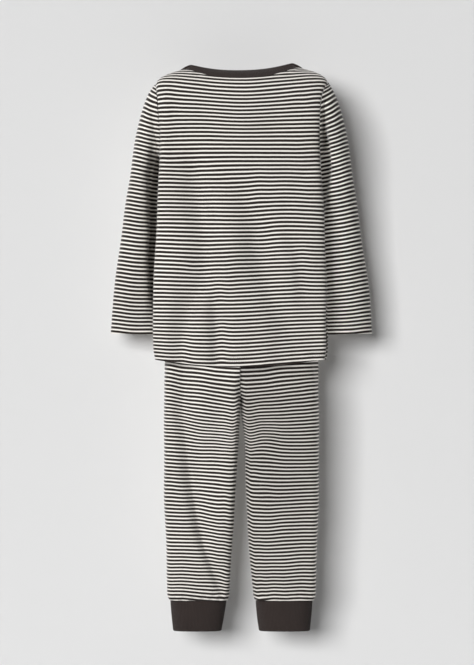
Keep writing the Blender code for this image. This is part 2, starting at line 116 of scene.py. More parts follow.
def pressed(folds, x, down):
    # depth of soft troughs that run from one end to the other, each row of them saying
    # x0, down0, x1, down1, half width, depth
    total = np.zeros(np.broadcast(x, down).shape)
    for x0, down0, x1, down1, halfWidth, depth in folds:
        runX, runDown = x1 - x0, down1 - down0
        length = math.hypot(runX, runDown)
        along = ((x - x0) * runX + (down - down0) * runDown) / length
        across = ((x - x0) * runDown - (down - down0) * runX) / length
        beyond = np.maximum(np.maximum(-along, along - length), 0.0)
        total = total + depth * np.exp(-(across**2 + beyond**2) / halfWidth**2)
    return total


def longFolds(folds, x, down):
    # depth of troughs, or of ridges where it is negative, that wander down the cloth: each row
    # gives the place across, the half width on its left and on its right, and the depth
    total = np.zeros(np.broadcast(x, down).shape)
    for rows in folds:
        row = rowAt({"columns": ("down", "x", "left", "right", "depth"), "rows": rows}, down)
        width = np.where(x < row["x"], row["left"], row["right"])
        total += row["depth"] * near(x - row["x"], width)
    return total


def ripples(waves, x, down):
    # slight unevenness of soft cloth: angle in degrees, wave length, phase, height
    total = 0.0
    for angle, length, phase, height in waves:
        way = x * math.cos(math.radians(angle)) + down * math.sin(math.radians(angle))
        total = total + height * np.sin(2 * math.pi * (way / length + phase))
    return total


def signedPower(value, exponent):
    return np.sign(value) * np.abs(value) ** exponent


def near(distance, width):
    # 1 at an edge or a line, falling softly to 0 away from it
    return np.exp(-(distance / width) ** 2)


def stacked(*parts):
    return np.stack(np.broadcast_arrays(*parts), -1)


def ramp(value, start, length):
    # 0 before the start, 1 from one length beyond it
    return np.clip((value - start) / length, 0.0, 1.0)


def running(steps):
    return np.concatenate(((0.0,), np.cumsum(steps)))


def unit(ways):
    return ways / np.linalg.norm(ways, axis=-1)[..., None]


def runLengths(grid):
    # length along each row from its left end, and along each column from its top end
    across = np.zeros(grid.shape[:2])
    across[:, 1:] = np.cumsum(np.linalg.norm(np.diff(grid, axis=1), axis=2), axis=1)
    along = np.zeros(grid.shape[:2])
    along[1:] = np.cumsum(np.linalg.norm(np.diff(grid, axis=0), axis=2), axis=0)
    return across, along


def onGrid(grid, row, column):
    # a value between the points of a grid, by its place in rows and columns
    row = np.clip(row, 0, grid.shape[0] - 1.001)
    column = np.clip(column, 0, grid.shape[1] - 1.001)
    r, c = row.astype(int), column.astype(int)
    fr, fc = (row - r)[:, None], (column - c)[:, None]
    upper = grid[r, c] * (1 - fc) + grid[r, c + 1] * fc
    lower = grid[r + 1, c] * (1 - fc) + grid[r + 1, c + 1] * fc
    return upper * (1 - fr) + lower * fr


def solidForm(pointAt):
    # points on a solid's outer face, the way out of it, and how far they are along it, from the
    # seams on both sides and from the lower end
    outside = pointAt(0.0)
    way = unit(outside - pointAt(fabric["solidWall"]))
    across, along = runLengths(outside)
    fromSeam = np.minimum(across, across[:, -1:] - across)
    return outside, way, across, along, fromSeam, along[-1:] - along


def hemmed(outside, way, relief, fromHem, fold):
    # both faces of cloth that is raised by its relief and double as far as the turned hem reaches
    depth, width = fabric["hemGroove"]
    outside = outside + way * (relief - depth * near(fromHem - fold, width))[..., None]
    hem = 1 / (1 + np.exp((fromHem - fold) / fabric["hemBlend"]))
    wall = fabric["wall"] + (fabric["hemWall"] - fabric["wall"]) * hem
    share, reach = fabric["hemThinner"]
    wall = wall * (1 - share * near(fromHem, reach))
    return outside, outside - way * wall[..., None]


def meshFrom(bm, name):
    mesh = bpy.data.meshes.new(name)
    bm.to_mesh(mesh)
    bm.free()
    return mesh


def faceOutward(bm):
    bmesh.ops.recalc_face_normals(bm, faces=bm.faces[:])
    if bm.calc_volume(signed=True) < 0:
        bmesh.ops.reverse_faces(bm, faces=bm.faces[:])


def gridPlaces(bm, rows, columns):
    # row, column and height of every point of a flat grid
    flat = np.array([vertex.co[:] for vertex in bm.verts])
    row = np.rint((flat[:, 1] + 0.5) * rows).astype(int)
    return row, np.rint((flat[:, 0] + 0.5) * columns).astype(int), flat[:, 2]


def movePoints(bm, points):
    for vertex, point in zip(bm.verts, points * mm):
        vertex.co = point


def addMap(mesh, name, u, v):
    places = np.stack((u, v), 1).astype(np.float32).ravel()
    mesh.uv_layers.new(name=name).uv.foreach_set("vector", places)


def cornerPoints(mesh):
    corner = np.zeros(len(mesh.loops), int)
    mesh.loops.foreach_get("vertex_index", corner)
    return corner


def shellPiece(name, outside, inside, across, stripe):
    # a flat slab of the grid's rows and columns, bent so that its two faces lie on the grids
    rows, columns = outside.shape[0] - 1, outside.shape[1] - 1
    bm = bmesh.new()
    bmesh.ops.create_grid(bm, x_segments=columns, y_segments=rows, size=0.5)
    kept = bmesh.ops.extrude_face_region(bm, geom=bm.faces[:], use_keep_orig=True)
    lower = [part for part in kept["geom"] if isinstance(part, bmesh.types.BMVert)]
    bmesh.ops.translate(bm, verts=lower, vec=(0.0, 0.0, -1.0))
    row, column, height = gridPlaces(bm, rows, columns)
    within = height < -0.5
    movePoints(bm, np.where(within[:, None], inside[row, column], outside[row, column]))
    faceOutward(bm)
    mesh = meshFrom(bm, name)
    clothMap = stacked(across, stripe * fabric["period"])
    addMaps(mesh, row, column, within, rows, columns, clothMap)
    return finishPiece(name, mesh, jerseyLook)


def addMaps(mesh, row, column, within, rows, columns, clothMap):
    # "cloth" holds the place in the flat cloth in metres.  "OFBake" spreads the two faces of the
    # wall side by side, with its narrow edges in strips round them.
    corner = cornerPoints(mesh)
    r, c, w = row[corner], column[corner], within[corner]
    addMap(mesh, "cloth", *(clothMap[r, c] * mm).T)
    u = np.where(w, 0.515, 0.01) + 0.475 * c / columns
    v = 0.03 + 0.94 * r / rows
    insideCorners = w.reshape(-1, 4).sum(1)
    rim = np.repeat((insideCorners > 0) & (insideCorners < 4), 4)
    for place, edge, start in ((r, 0, 0.004), (r, rows, 0.984), (c, 0, 0.488), (c, columns, 0.501)):
        chosen = np.repeat((place.reshape(-1, 4) == edge).all(1), 4) & rim
        if place is r:
            v[chosen] = start + 0.011 * w[chosen]
            u[chosen] = 0.01 + 0.475 * c[chosen] / columns
        else:
            u[chosen] = start + 0.010 * w[chosen]
            v[chosen] = 0.03 + 0.94 * r[chosen] / rows
    addMap(mesh, "OFBake", u, v)


def ringPiece(name, rings, clothMap, material):
    # rings[i] is one closed section of a band; neighbours are bridged all the way round
    count, size = len(rings), len(rings[0])
    bm = bmesh.new()
    bmesh.ops.create_grid(bm, x_segments=size, y_segments=count, size=0.5)
    row, column = gridPlaces(bm, count, size)[:2]
    movePoints(bm, rings[row % count, column % size])
    mesh = meshFrom(bm, name)
    corner = cornerPoints(mesh)
    r, c = row[corner], column[corner]
    addMap(mesh, "cloth", *(clothMap[r, c] * mm).T)
    addMap(mesh, "OFBake", 0.01 + 0.98 * c / size, 0.01 + 0.98 * r / count)
    bm = bmesh.new()
    bm.from_mesh(mesh)
    bmesh.ops.remove_doubles(bm, verts=bm.verts[:], dist=1e-7)
    faceOutward(bm)
    bm.to_mesh(mesh)
    bm.free()
    return finishPiece(name, mesh, material)


def linked(piece):
    bpy.context.scene.collection.objects.link(piece)
    return piece


def finishPiece(name, mesh, material):
    mesh.materials.append(material)
    mesh.shade_smooth()
    mesh.set_sharp_from_angle(angle=math.radians(50))
    return linked(bpy.data.objects.new(name, mesh))


# Materials

def linear(hexColour):
    # sRGB hex to the linear colour that shaders use
    parts = [int(hexColour[i:i + 2], 16) / 255 for i in (1, 3, 5)]
    return [p / 12.92 if p <= 0.04045 else ((p + 0.055) / 1.055) ** 2.4 for p in parts] + [1.0]


def addNode(material, kind, settings=None, links=None):
    # a link comes from a socket, or from a node by its first output
    node = material.node_tree.nodes.new("ShaderNode" + kind)
    for key, value in (settings or {}).items():
        if isinstance(key, str) and hasattr(node, key):
            setattr(node, key, value)
        else:
            node.inputs[key].default_value = value
    for key, source in (links or {}).items():
        source = source.outputs[0] if hasattr(source, "outputs") else source
        material.node_tree.links.new(source, node.inputs[key])
    return node


def newMaterial(name, sockets):
    material = bpy.data.materials.new(name)
    material.use_nodes = True
    shader = material.node_tree.nodes["Principled BSDF"]
    for key, value in sockets.items():
        shader.inputs[key].default_value = value
    return material, shader


def knitHeight(material, u, v, wale, course):
    # chevrons of plain knit: round wales side by side, each a chain of slanting loops
    wales = addNode(material, "Math", {"operation": "DIVIDE", 1: wale * mm}, {0: u})
    across = addNode(material, "Math", {"operation": "PINGPONG", 1: 0.5}, {0: wales})
    along = addNode(material, "Math", {"operation": "DIVIDE", 1: course * mm}, {0: v})
    slant = addNode(material, "Math", {
        "operation": "MULTIPLY_ADD", 1: knit["slant"]}, {0: across, 2: along})
    turn = addNode(material, "Math", {"operation": "MULTIPLY", 1: 2 * math.pi}, {0: slant})
    loops = addNode(material, "Math", {"operation": "SINE"}, {0: turn})
    return addNode(material, "Math", {
        "operation": "MULTIPLY_ADD", 1: knit["loopShare"]}, {0: loops, 2: across})


knit = {
    "slant": 1.3,
    "loopShare": 0.28,
}

jersey = {
    "dark": ("#191512", "#352e2a"),  # from the thin places of the yarn to the thick ones
    "light": ("#e6e0d7", "#fbf8f3"),
    "darkShare": 0.612,
    "softEdge": 0.05,
    "wale": 1.15,  # real wales are about 0.8 mm, drawn wider so that they show
    "course": 0.85,
    "loopStep": 0.03,  # how far a colour edge steps up and down with the loops
    "wander": 0.07,
}


def joinShader(material, shader, colour, bump):
    # the colour and the fine relief go to the shader
    material.node_tree.links.new(colour, shader.inputs["Base Color"])
    material.node_tree.links.new(bump.outputs[0], shader.inputs["Normal"])
    return material


def stripedJersey():
    # Brushed cotton jersey, yarn dyed in two feeder stripes: matt, slightly furry, with stepped
    # stripe edges and yarns of uneven thickness that make each stripe a little mottled.
    material, shader = newMaterial("cottonJerseyYarnDyed", {
        "Roughness": 0.92, "Sheen Weight": 0.22, "Sheen Roughness": 0.45,
        "IOR": 1.45, "Specular IOR Level": 0.2})
    cloth = addNode(material, "UVMap", {"uv_map": "cloth"})
    place = addNode(material, "TexCoord").outputs["Object"]
    split = addNode(material, "SeparateXYZ", None, {0: cloth})
    u, v = split.outputs["X"], split.outputs["Y"]
    wales = addNode(material, "Math", {"operation": "DIVIDE", 1: jersey["wale"] * mm}, {0: u})
    wale = addNode(material, "Math", {"operation": "PINGPONG", 1: 0.5}, {0: wales})
    stripes = addNode(material, "Math", {"operation": "DIVIDE", 1: fabric["period"] * mm}, {0: v})
    stepped = addNode(material, "Math", {
        "operation": "MULTIPLY_ADD", 1: 2 * jersey["loopStep"]}, {0: wale, 2: stripes})
    wander = addNode(material, "TexNoise", {"Scale": 60.0, "Detail": 2.0}, {"Vector": cloth})
    wandered = addNode(material, "Math", {
        "operation": "MULTIPLY_ADD", 1: jersey["wander"]}, {0: wander, 2: stepped})
    fold = addNode(material, "Math", {"operation": "PINGPONG", 1: 0.5}, {0: wandered})
    half, soft = jersey["darkShare"] / 2, jersey["softEdge"]
    mask = addNode(material, "MapRange", {
        "interpolation_type": "SMOOTHSTEP",
        "From Min": half - soft, "From Max": half + soft}, {"Value": fold})
    # yarn thickness: long along the course, short across it
    yarnPlace = addNode(material, "Mapping", {"Scale": (220.0, 1200.0, 1.0)}, {"Vector": cloth})
    yarn = addNode(material, "TexNoise", {
        "Scale": 1.0, "Detail": 3.0, "Roughness": 0.6}, {"Vector": yarnPlace})
    dark, light = (addNode(material, "Mix", {
        "data_type": "RGBA", 6: linear(thin), 7: linear(thick)}, {0: yarn}).outputs[2]
        for thin, thick in (jersey["dark"], jersey["light"]))
    striped = addNode(material, "Mix", {"data_type": "RGBA"}, {0: mask, 6: dark, 7: light})
    cloud = addNode(material, "TexNoise", {"Scale": 14.0, "Detail": 4.0}, {"Vector": place})
    wash = addNode(material, "MapRange", {
        "From Min": 0.3, "From Max": 0.7, "To Min": 0.94, "To Max": 1.03}, {"Value": cloud})
    washed = addNode(material, "VectorMath", {"operation": "SCALE"}, {
        0: striped.outputs[2], "Scale": wash})
    loops = knitHeight(material, u, v, jersey["wale"], jersey["course"])
    nap = addNode(material, "TexNoise", {"Scale": 900.0, "Detail": 3.0}, {"Vector": place})
    height = addNode(material, "Math", {"operation": "MULTIPLY_ADD", 1: 0.5}, {0: nap, 2: loops})
    bump = addNode(material, "Bump", {"Strength": 0.35, "Distance": 0.0003}, {"Height": height})
    return joinShader(material, shader, washed.outputs[0], bump)


ribKnit = {
    "pitch": 2.0,  # one rib and one furrow
    "ridge": 0.22,
    "wall": 2.0,
    "columnsPerRib": 6,
    "course": 0.9,
    "atSeam": (0.6, 0.06),  # how much flatter the ribs are at the seam, and for what share
    "tall": 40.0,  # height of a band in the flat cloth
}


def darkRib():
    # Cotton and elastane rib, piece dyed dark brown: matt, with painted shade that darkens its
    # furrows, fine loops along each rib.
    material, shader = newMaterial("cottonElastaneRibDarkBrown", {
        "Roughness": 0.88, "Sheen Weight": 0.18, "Sheen Roughness": 0.5,
        "IOR": 1.45, "Specular IOR Level": 0.25})
    split = addNode(material, "SeparateXYZ", None, {
        0: addNode(material, "UVMap", {"uv_map": "cloth"})})
    u, v = split.outputs["X"], split.outputs["Y"]
    ribs = addNode(material, "Math", {"operation": "DIVIDE", 1: ribKnit["pitch"] * mm}, {0: u})
    rib = addNode(material, "Math", {"operation": "PINGPONG", 1: 0.5}, {0: ribs})
    cloud = addNode(material, "TexNoise", {"Scale": 30.0, "Detail": 4.0}, {
        "Vector": addNode(material, "TexCoord").outputs["Object"]})
    tone = addNode(material, "Mix", {
        "data_type": "RGBA", 6: linear("#2a2220"), 7: linear("#342b28")}, {0: cloud})
    # painted shade: the colour darkens towards the middle of each furrow between the ribs
    furrowShade = addNode(material, "MapRange", {
        "From Min": 0.28, "From Max": 0.5, "To Min": 1.0, "To Max": 0.72}, {"Value": rib})
    shaded = addNode(material, "VectorMath", {"operation": "SCALE"}, {
        0: tone.outputs[2], "Scale": furrowShade})
    loops = knitHeight(material, u, v, ribKnit["pitch"] / 2, ribKnit["course"])
    bump = addNode(material, "Bump", {"Strength": 0.35, "Distance": 0.0003}, {"Height": loops})
    return joinShader(material, shader, shaded.outputs[0], bump)


def sewingThread():
    # Spun polyester thread, two plies: a soft shine, a slanting twist and painted shade in the
    # grooves between the plies.
    material, shader = newMaterial("spunPolyesterThread", {
        "Roughness": 0.55, "Sheen Weight": 0.2, "IOR": 1.5})
    twist = addNode(material, "TexWave", {
        "wave_type": "BANDS", "bands_direction": "DIAGONAL", "Scale": 900.0, "Distortion": 1.0}, {
        "Vector": addNode(material, "TexCoord").outputs["Object"]})
    # painted shade: the thread's colour is darker where its twisted relief is low
    tone = addNode(material, "Mix", {
        "data_type": "RGBA", 6: linear("#2a2420"), 7: linear("#463d37")}, {0: twist})
    bump = addNode(material, "Bump", {"Strength": 0.4, "Distance": 0.0001}, {"Height": twist})
    return joinShader(material, shader, tone.outputs[2], bump)


jerseyLook = stripedJersey()
ribLook = darkRib()
threadLook = sewingThread()
print("materials made")


# Body of the top

top = {
    "sideY": -5.0,
    # how much flatter the body is at its sides than in the middle, and how square its corner is
    "crown": {-1: (0.21, 9.0), 1: (0.0, 2.2)},
    "body": {
        "columns": ("down", "left", "right", "back", "front"),
        "rows": (
            (16, 120.6, 120.8, 47, 50), (24, 119, 115.6, 47.2, 50), (37, 117.6, 111.4, 47.6, 50.5),
            (60, 115.8, 109, 48, 51), (85, 113.2, 108.4, 48.5, 53), (105, 112.2, 109.2, 49, 55),
            (130, 113.4, 110.7, 49, 57), (165, 115.8, 112.7, 49, 59),
            (219, 118.6, 116.2, 48.5, 61), (270, 121, 118.2, 49, 62.5),
            (319, 122.6, 119.8, 50.5, 63.5), (386, 122.8, 121.2, 53, 63.5),
            (404, 119.6, 118.6, 53.2, 63), (414, 116.8, 116.4, 53, 62.5),
        ),
    },
    "ridge": {
        "columns": ("out", "up"),
        "rows": (
            (0, 11), (60, 7), (86, 3.2), (101, -1), (111, -5.4), (117, -10.2), (121, -15.6),
        ),
    },
    "shoulderTilt": 1.6,
    "shoulderOut": 121.0,
    "armholeMiddle": 67.0,
    "underarm": 118.0,
    "armholeHalfDepth": 31.0,
    "neckOut": 86.0,
    # half width, drop and roundness of the neck seam, back and front
    "neckSeam": {-1: (78.0, 21.3, 1.0), 1: (86.0, 60.0, 0.8)},
    "hemSide": 402.5,
    "hemDrop": {-1: 9.5, 1: 6.0},
    "sections": (5, 5, 12),  # rows of the solid over the yoke, to the underarm, to the hem
    # x0, down0, x1, down1, half width, depth
    "folds": {
        -1: (
            (-40, 300, -34, 410, 13, 2.8), (44, 330, 58, 412, 16, 1.8),
            (-84, 290, -84, 372, 12, 1.6), (20, 240, 62, 352, 15, 1.5),
            (100, 130, 62, 196, 12, 1.6), (-104, 132, -64, 206, 12, 1.6),
        ),
        1: (
            (40, 290, 32, 410, 14, 2.6), (-38, 320, -50, 410, 15, 2), (98, 132, 54, 214, 13, 1.8),
            (-98, 132, -58, 208, 13, 1.8),
        ),
    },
    "longFolds": {
        -1: (
            (
                (100, -74, 12, 14, 0), (132, -71, 14, 18, 7.5), (180, -67, 17, 20, 13.5),
                (222, -60, 20, 25, 15.5), (263, -58, 19, 24, 14.5), (290, -59, 18, 22, 12),
                (310, -66, 17, 20, 9.5), (340, -80, 15, 15, 9), (372, -86, 12, 13, 8.5),
                (414, -88, 12, 12, 4.5),
            ),
            (
                (300, -40, 8, 10, 0), (326, -38, 9, 12, 5), (360, -36, 8.5, 15, 7.5),
                (385, -35, 8.5, 15, 6.5), (414, -34, 8.5, 14, 4),
            ),
            (
                (262, 104, 40, 12, 0), (305, 105, 44, 12, 3), (345, 106, 50, 12, 8),
                (414, 106, 52, 11, 8),
            ),
            (
                (150, 4, 16, 16, 0), (179, 8, 18, 18, 4), (221, 22, 23, 26, 7),
                (263, 29, 23, 36, 8), (290, 36, 22, 38, 6.6), (312, 43, 22, 42, 5.6),
                (345, 62, 26, 50, 6.5), (378, 74, 28, 40, 5), (414, 76, 28, 40, 2.5),
            ),
            (
                (200, 66, 10, 12, 0), (232, 70, 11, 14, 3.5), (263, 82, 12, 14, 5),
                (305, 90, 13, 14, 5), (336, 94, 16, 14, 0),
            ),
            (
                (20, -101, 7, 7, 0), (44, -103, 8, 8, -3), (110, -104, 8, 8, -6.5),
                (134, -104, 8, 9, -4), (158, -104, 8, 8, 0),
            ),
            (
                (250, -96, 10, 10, 0), (300, -98, 14, 14, -2.4), (345, -103, 12, 12, -3.2),
                (414, -104, 11, 11, -2.2),
            ),
            (
                (160, -24, 20, 20, 0), (221, -22, 24, 22, -2.4), (300, -14, 22, 22, -3),
                (360, -6, 20, 24, -2.4), (414, -4, 20, 22, -2),
            ),
        ),
        1: (),
    },
    "creases": {
        -1: (
            (-22, 350, -14, 408, 7, 0.6), (66, 335, 86, 405, 8, 1), (108, 126, 72, 162, 6, 0.7),
            (-108, 126, -74, 168, 6, 0.7), (94, 160, 78, 246, 8, 0.6),
            (-100, 158, -86, 236, 8, 0.6), (98, 26, 66, 82, 11, 0.5), (-98, 26, -70, 78, 11, 0.5),
        ),
        1: (
            (36, 380, 33, 410, 6, 1.1), (14, 330, 6, 404, 8, 0.6), (-70, 336, -84, 402, 8, 0.7),
            (70, 330, 78, 404, 7, 0.6), (-20, 250, -60, 330, 12, 0.8), (104, 126, 60, 170, 6, 0.8),
            (-104, 126, -62, 166, 6, 0.8), (84, 30, 52, 96, 10, 0.6), (-84, 30, -54, 92, 10, 0.6),
            (-22, 82, 20, 84, 9, 0.5),
        ),
    },
    "waves": (
        (8, 92, 0.1, 0.35), (62, 118, 0.45, 0.3), (-38, 74, 0.7, 0.22), (88, 151, 0.2, 0.25),
        (24, 47, 0.35, 0.12),
    ),
    "calm": 9.0,  # how near to a seam the ripples fade
    "neckSeamDepth": 0.25,
    "neckRidge": (0.35, 4.5, 3.0),  # height, distance below the neck seam, width
    "hemFold": 16.0,  # depth of the turned hem
}

# Stripes of the top, counted up from the hem, and how far each rises above its middle towards
# the side seams: at 0.95 and 0.5 of the half width on each side.
topStripes = {
    "count": {
        "columns": ("down", "stripe"),
        "rows": (
            (-10, 74.4), (4, 72), (18.2, 69.6), (40.8, 66), (72.2, 60), (93.4, 56), (138.8, 48),
            (208.5, 36), (275.3, 24), (341.6, 12), (405.8, 0), (420, -2.6),
        ),
    },
    "riseColumns": ("down", "left", "halfLeft", "middle", "halfRight", "right"),
    "rise": {
        -1: (
            (4, 12.1, 2.2, -3, 3, 11.7), (19, 11.1, 2.7, -2.1, 3.5, 11.2),
            (30, 9.6, 3.2, -1.2, 3.3, 10.3), (41, 7.6, 4, 0.1, 3.6, 9.1),
            (72, 2.3, 2.4, -0.1, 1.7, 3.4), (116, 0, 0.4, 0.3, 0.3, 1.5),
            (162, -0.2, -1.1, -0.4, 1.5, 1.3), (208, 1.5, 0.7, -0.3, 3, 1.7),
            (253, 0.7, -1.5, 0.1, 1.9, 2.2), (298, -0.6, -2, -0.4, 2.6, 3.1),
            (342, -0.3, -0.9, -0.3, 3.2, 4.9), (400, 3.2, -0.8, -0.7, 3.6, 6.8),
        ),
        1: (
            (4, 14, 8, 0, 8, 14), (41, 9.6, 6, 0, 6, 10.4), (72, 3.4, 3.6, 0, 3.4, 4.2),
            (116, 0, 0.8, 0, 0.6, 1.5), (162, -0.2, 1.2, 0, -0.6, 1.3),
            (208, 1.5, 0.4, 0, 1.4, 1.7), (253, 0.7, 1.6, 0, -0.8, 2.2),
            (298, -0.6, 0.8, 0, 0.9, 3.1), (342, -0.3, 1.2, 0, 0.2, 4.9),
            (400, 3.2, 2.6, 0, 3, 6.8),
        ),
    },
    # where a stripe is pulled up a little, or down: a line, its half width and the pull
    "pulls": {
        -1: (
            (-100, 130, -74, 140, 14, -1.4), (-104, 48, -106, 90, 9, -0.7),
            (-48, 137, -14, 165, 14, -0.6), (78, 102, 94, 168, 15, -0.6),
            (-24, 262, -16, 305, 10, -0.5), (23, 150, 23, 178, 12, 0.7),
            (28, 222, 30, 248, 14, -1), (84, 252, 82, 305, 11, 1), (-33, 300, -30, 318, 9, 0.9),
            (-27, 355, -28, 400, 9, 1.4), (-81, 380, -80, 402, 10, 1.2),
            (-68, 274, -60, 278, 10, -0.7), (87, 24, 88, 44, 9, -0.6), (-97, 20, -96, 52, 11, 0.6),
        ),
        1: (),
    },
    # the stripes turn up at the side seams: how much, how near, from where and how soon
    "sideHook": (1.8, 5.0, 270.0, 60.0),
}


def bodyEdge(down, side):
    section = rowAt(top["body"], down)
    return np.where(np.asarray(side) < 0, section["left"], section["right"])


def bodySeamDepth(down):
    # from the side line to the edge of the body, which is the armhole higher up
    part = ramp(down, top["armholeMiddle"], top["underarm"] - top["armholeMiddle"])
    return np.maximum(top["armholeHalfDepth"] * np.sqrt(1 - part * part), fabric["halfGap"])


def bodyDepth(fraction, down, face, inset):
    section = rowAt(top["body"], down)
    middle = section["back"] + top["sideY"] if face < 0 else section["front"] - top["sideY"]
    dome, corner = top["crown"][face]
    seam = np.minimum(bodySeamDepth(down) / middle / (1 - dome), 0.999)
    reach = (1 - seam**corner) ** (1 / corner)
    return (middle - inset) * crownDepth(fraction, reach, dome, corner)


def crownDepth(fraction, reach, dome, corner):
    return (1 - dome * fraction**2) * (1 - np.abs(fraction * reach) ** corner) ** (1 / corner)


def crownWidth(depth, face):
    # the share of the half width at which the body is this deep
    fractions = 1 - np.linspace(1, 0, 500) ** 4
    return np.interp(depth, crownDepth(fractions, 1.0, *top["crown"][face])[::-1], fractions[::-1])


def ridgeUp(fraction):
    ridge = rowAt(top["ridge"], np.abs(fraction) * top["shoulderOut"])
    return ridge["up"] + top["shoulderTilt"] * fraction


def neckAngle(fraction, face):
    seamOut, drop, roundness = top["neckSeam"][face]
    oval = np.maximum(1 - (fraction * top["shoulderOut"] / seamOut) ** 2, 0.0)
    return np.arccos(1 - drop * oval**roundness / (ridgeUp(fraction) + top["armholeMiddle"]))


def yokePoint(fraction, angle, face, inset):
    ridge = ridgeUp(fraction) - inset
    depth = bodyDepth(fraction, top["armholeMiddle"], face, inset)
    z = ridge - (ridge + top["armholeMiddle"]) * (1 - np.cos(angle))
    y = top["sideY"] + face * np.maximum(depth * np.sin(angle), fabric["halfGap"])
    return stacked(fraction * (bodyEdge(-z, fraction) - inset), y, z)


def bodyPoint(fraction, row, face, inset):
    yokeRows, armholeRows, lowerRows = top["sections"]
    start = neckAngle(fraction, face)
    angle = start + (math.pi / 2 - start) * np.minimum(row / yokeRows, 1.0)
    yoke = yokePoint(fraction, angle, face, inset)
    turn = ramp(row, yokeRows, armholeRows) * math.pi / 2
    down = top["armholeMiddle"] + (top["underarm"] - top["armholeMiddle"]) * np.sin(turn)
    hem = top["hemSide"] + top["hemDrop"][face] * (1 - fraction * fraction)
    down = down + (hem - top["underarm"]) * ramp(row, yokeRows + armholeRows, lowerRows)
    x = fraction * (bodyEdge(down, fraction) - inset)
    depth = bodyDepth(fraction, down, face, inset)
    depth = depth - pressed(top["folds"][face], x, down) * (1 - fraction**4)
    y = top["sideY"] + face * np.maximum(depth, fabric["halfGap"])
    return np.where((row <= yokeRows)[..., None], yoke, stacked(x, y, -down))


def bodyFractions():
    # even steps under the neck, then steps that close up round the side
    neckFraction = top["neckOut"] / top["shoulderOut"]
    corner = 1 - 0.07 * (1 - np.linspace(0, 1, 12)[1:]) ** 1.8
    side = np.concatenate((np.linspace(neckFraction, 0.93, 13)[1:], corner))
    middle = np.linspace(-neckFraction, neckFraction, 59)
    return np.concatenate((-side[::-1], middle, side))


def bodyRows():
    yokeRows, armholeRows, lowerRows = top["sections"]
    underarm = yokeRows + armholeRows
    end = underarm + lowerRows
    yoke = np.concatenate(((0.0, 0.05, 0.14), np.linspace(0, yokeRows, 21)[1:]))
    armhole, lower = np.linspace(yokeRows, underarm, 17)[1:], np.linspace(underarm, end, 91)[1:-1]
    return np.concatenate((yoke, armhole, lower, end - np.array((0.055, 0.02, 0.0))))


def topStripePlace(fraction, x, down, face, sideDistance):
    # which stripe lies at one place, from its height and the sag of the stripes there
    stops = (-1.3, -0.95, -0.5, 0.0, 0.5, 0.95, 1.3)
    onward = 0.35 / 0.45  # the last step of the stops over the step before it

    def riseAt(height):
        row = sideRow(topStripes, "rise", face, height)
        left, right = row["left"], row["right"]
        return throughStops(stops, [
            left + (left - row["halfLeft"]) * onward, left, row["halfLeft"], row["middle"],
            row["halfRight"], right, right + (right - row["halfRight"]) * onward], fraction)

    rise = riseAt(down + riseAt(down)) + pressed(topStripes["pulls"][face], x, down)
    height, width, start, run = topStripes["sideHook"]
    hook = height * near(sideDistance, width) * ramp(down, start, run)
    return rowAt(topStripes["count"], down + rise + hook)["stripe"]


def throughStops(stops, values, place):
    # a smooth curve across each row, through values that change from row to row
    values = stacked(*values)
    return smoothCurve(np.array(stops), values, np.broadcast_to(place, values.shape[:-1]))


def bodyPanel(name, face):
    fraction, row = bodyFractions()[None, :], bodyRows()[:, None]
    outside, way, across, along, fromSide, fromHem = solidForm(
        lambda inset: bodyPoint(fraction, row, face, inset))
    x, down = outside[..., 0], -outside[..., 2]
    relief = ripples(top["waves"], x, down) * (1 - near(fromSide, top["calm"]))
    relief *= 1 - near(along, top["calm"])
    relief -= pressed(top["creases"][face], x, down)
    relief -= longFolds(top["longFolds"][face], x, down)
    relief -= fabric["seamDepth"] * near(fromSide, fabric["seamWidth"])
    underNeck = np.abs(fraction) <= top["neckOut"] / top["shoulderOut"]
    depth = np.where(underNeck, top["neckSeamDepth"], fabric["seamDepth"])
    relief -= depth * near(along, fabric["seamWidth"])
    height, distance, width = top["neckRidge"]
    relief += np.where(underNeck, height, 0.0) * near(along - distance, width)
    outside, inside = hemmed(outside, way, relief, fromHem, top["hemFold"])
    # over the yoke the stripes lie by the length of cloth, below it by height
    yokeRows = top["sections"][0]
    yokeEnd = np.argmin(np.abs(row[:, 0] - yokeRows))
    overYoke = top["armholeMiddle"] - (along[yokeEnd] - along)
    level = np.where(row < yokeRows, overYoke, -outside[..., 2])
    stripe = topStripePlace(fraction, outside[..., 0], level, face, fromSide)
    fromMiddle = across - across[:, across.shape[1] // 2][:, None]
    return shellPiece(name, outside, inside, fromMiddle, stripe), outside, way, fromHem


backPiece = bodyPanel("backPanel", -1)
frontPiece = bodyPanel("frontPanel", 1)
print("body of the top made")


# Sleeves

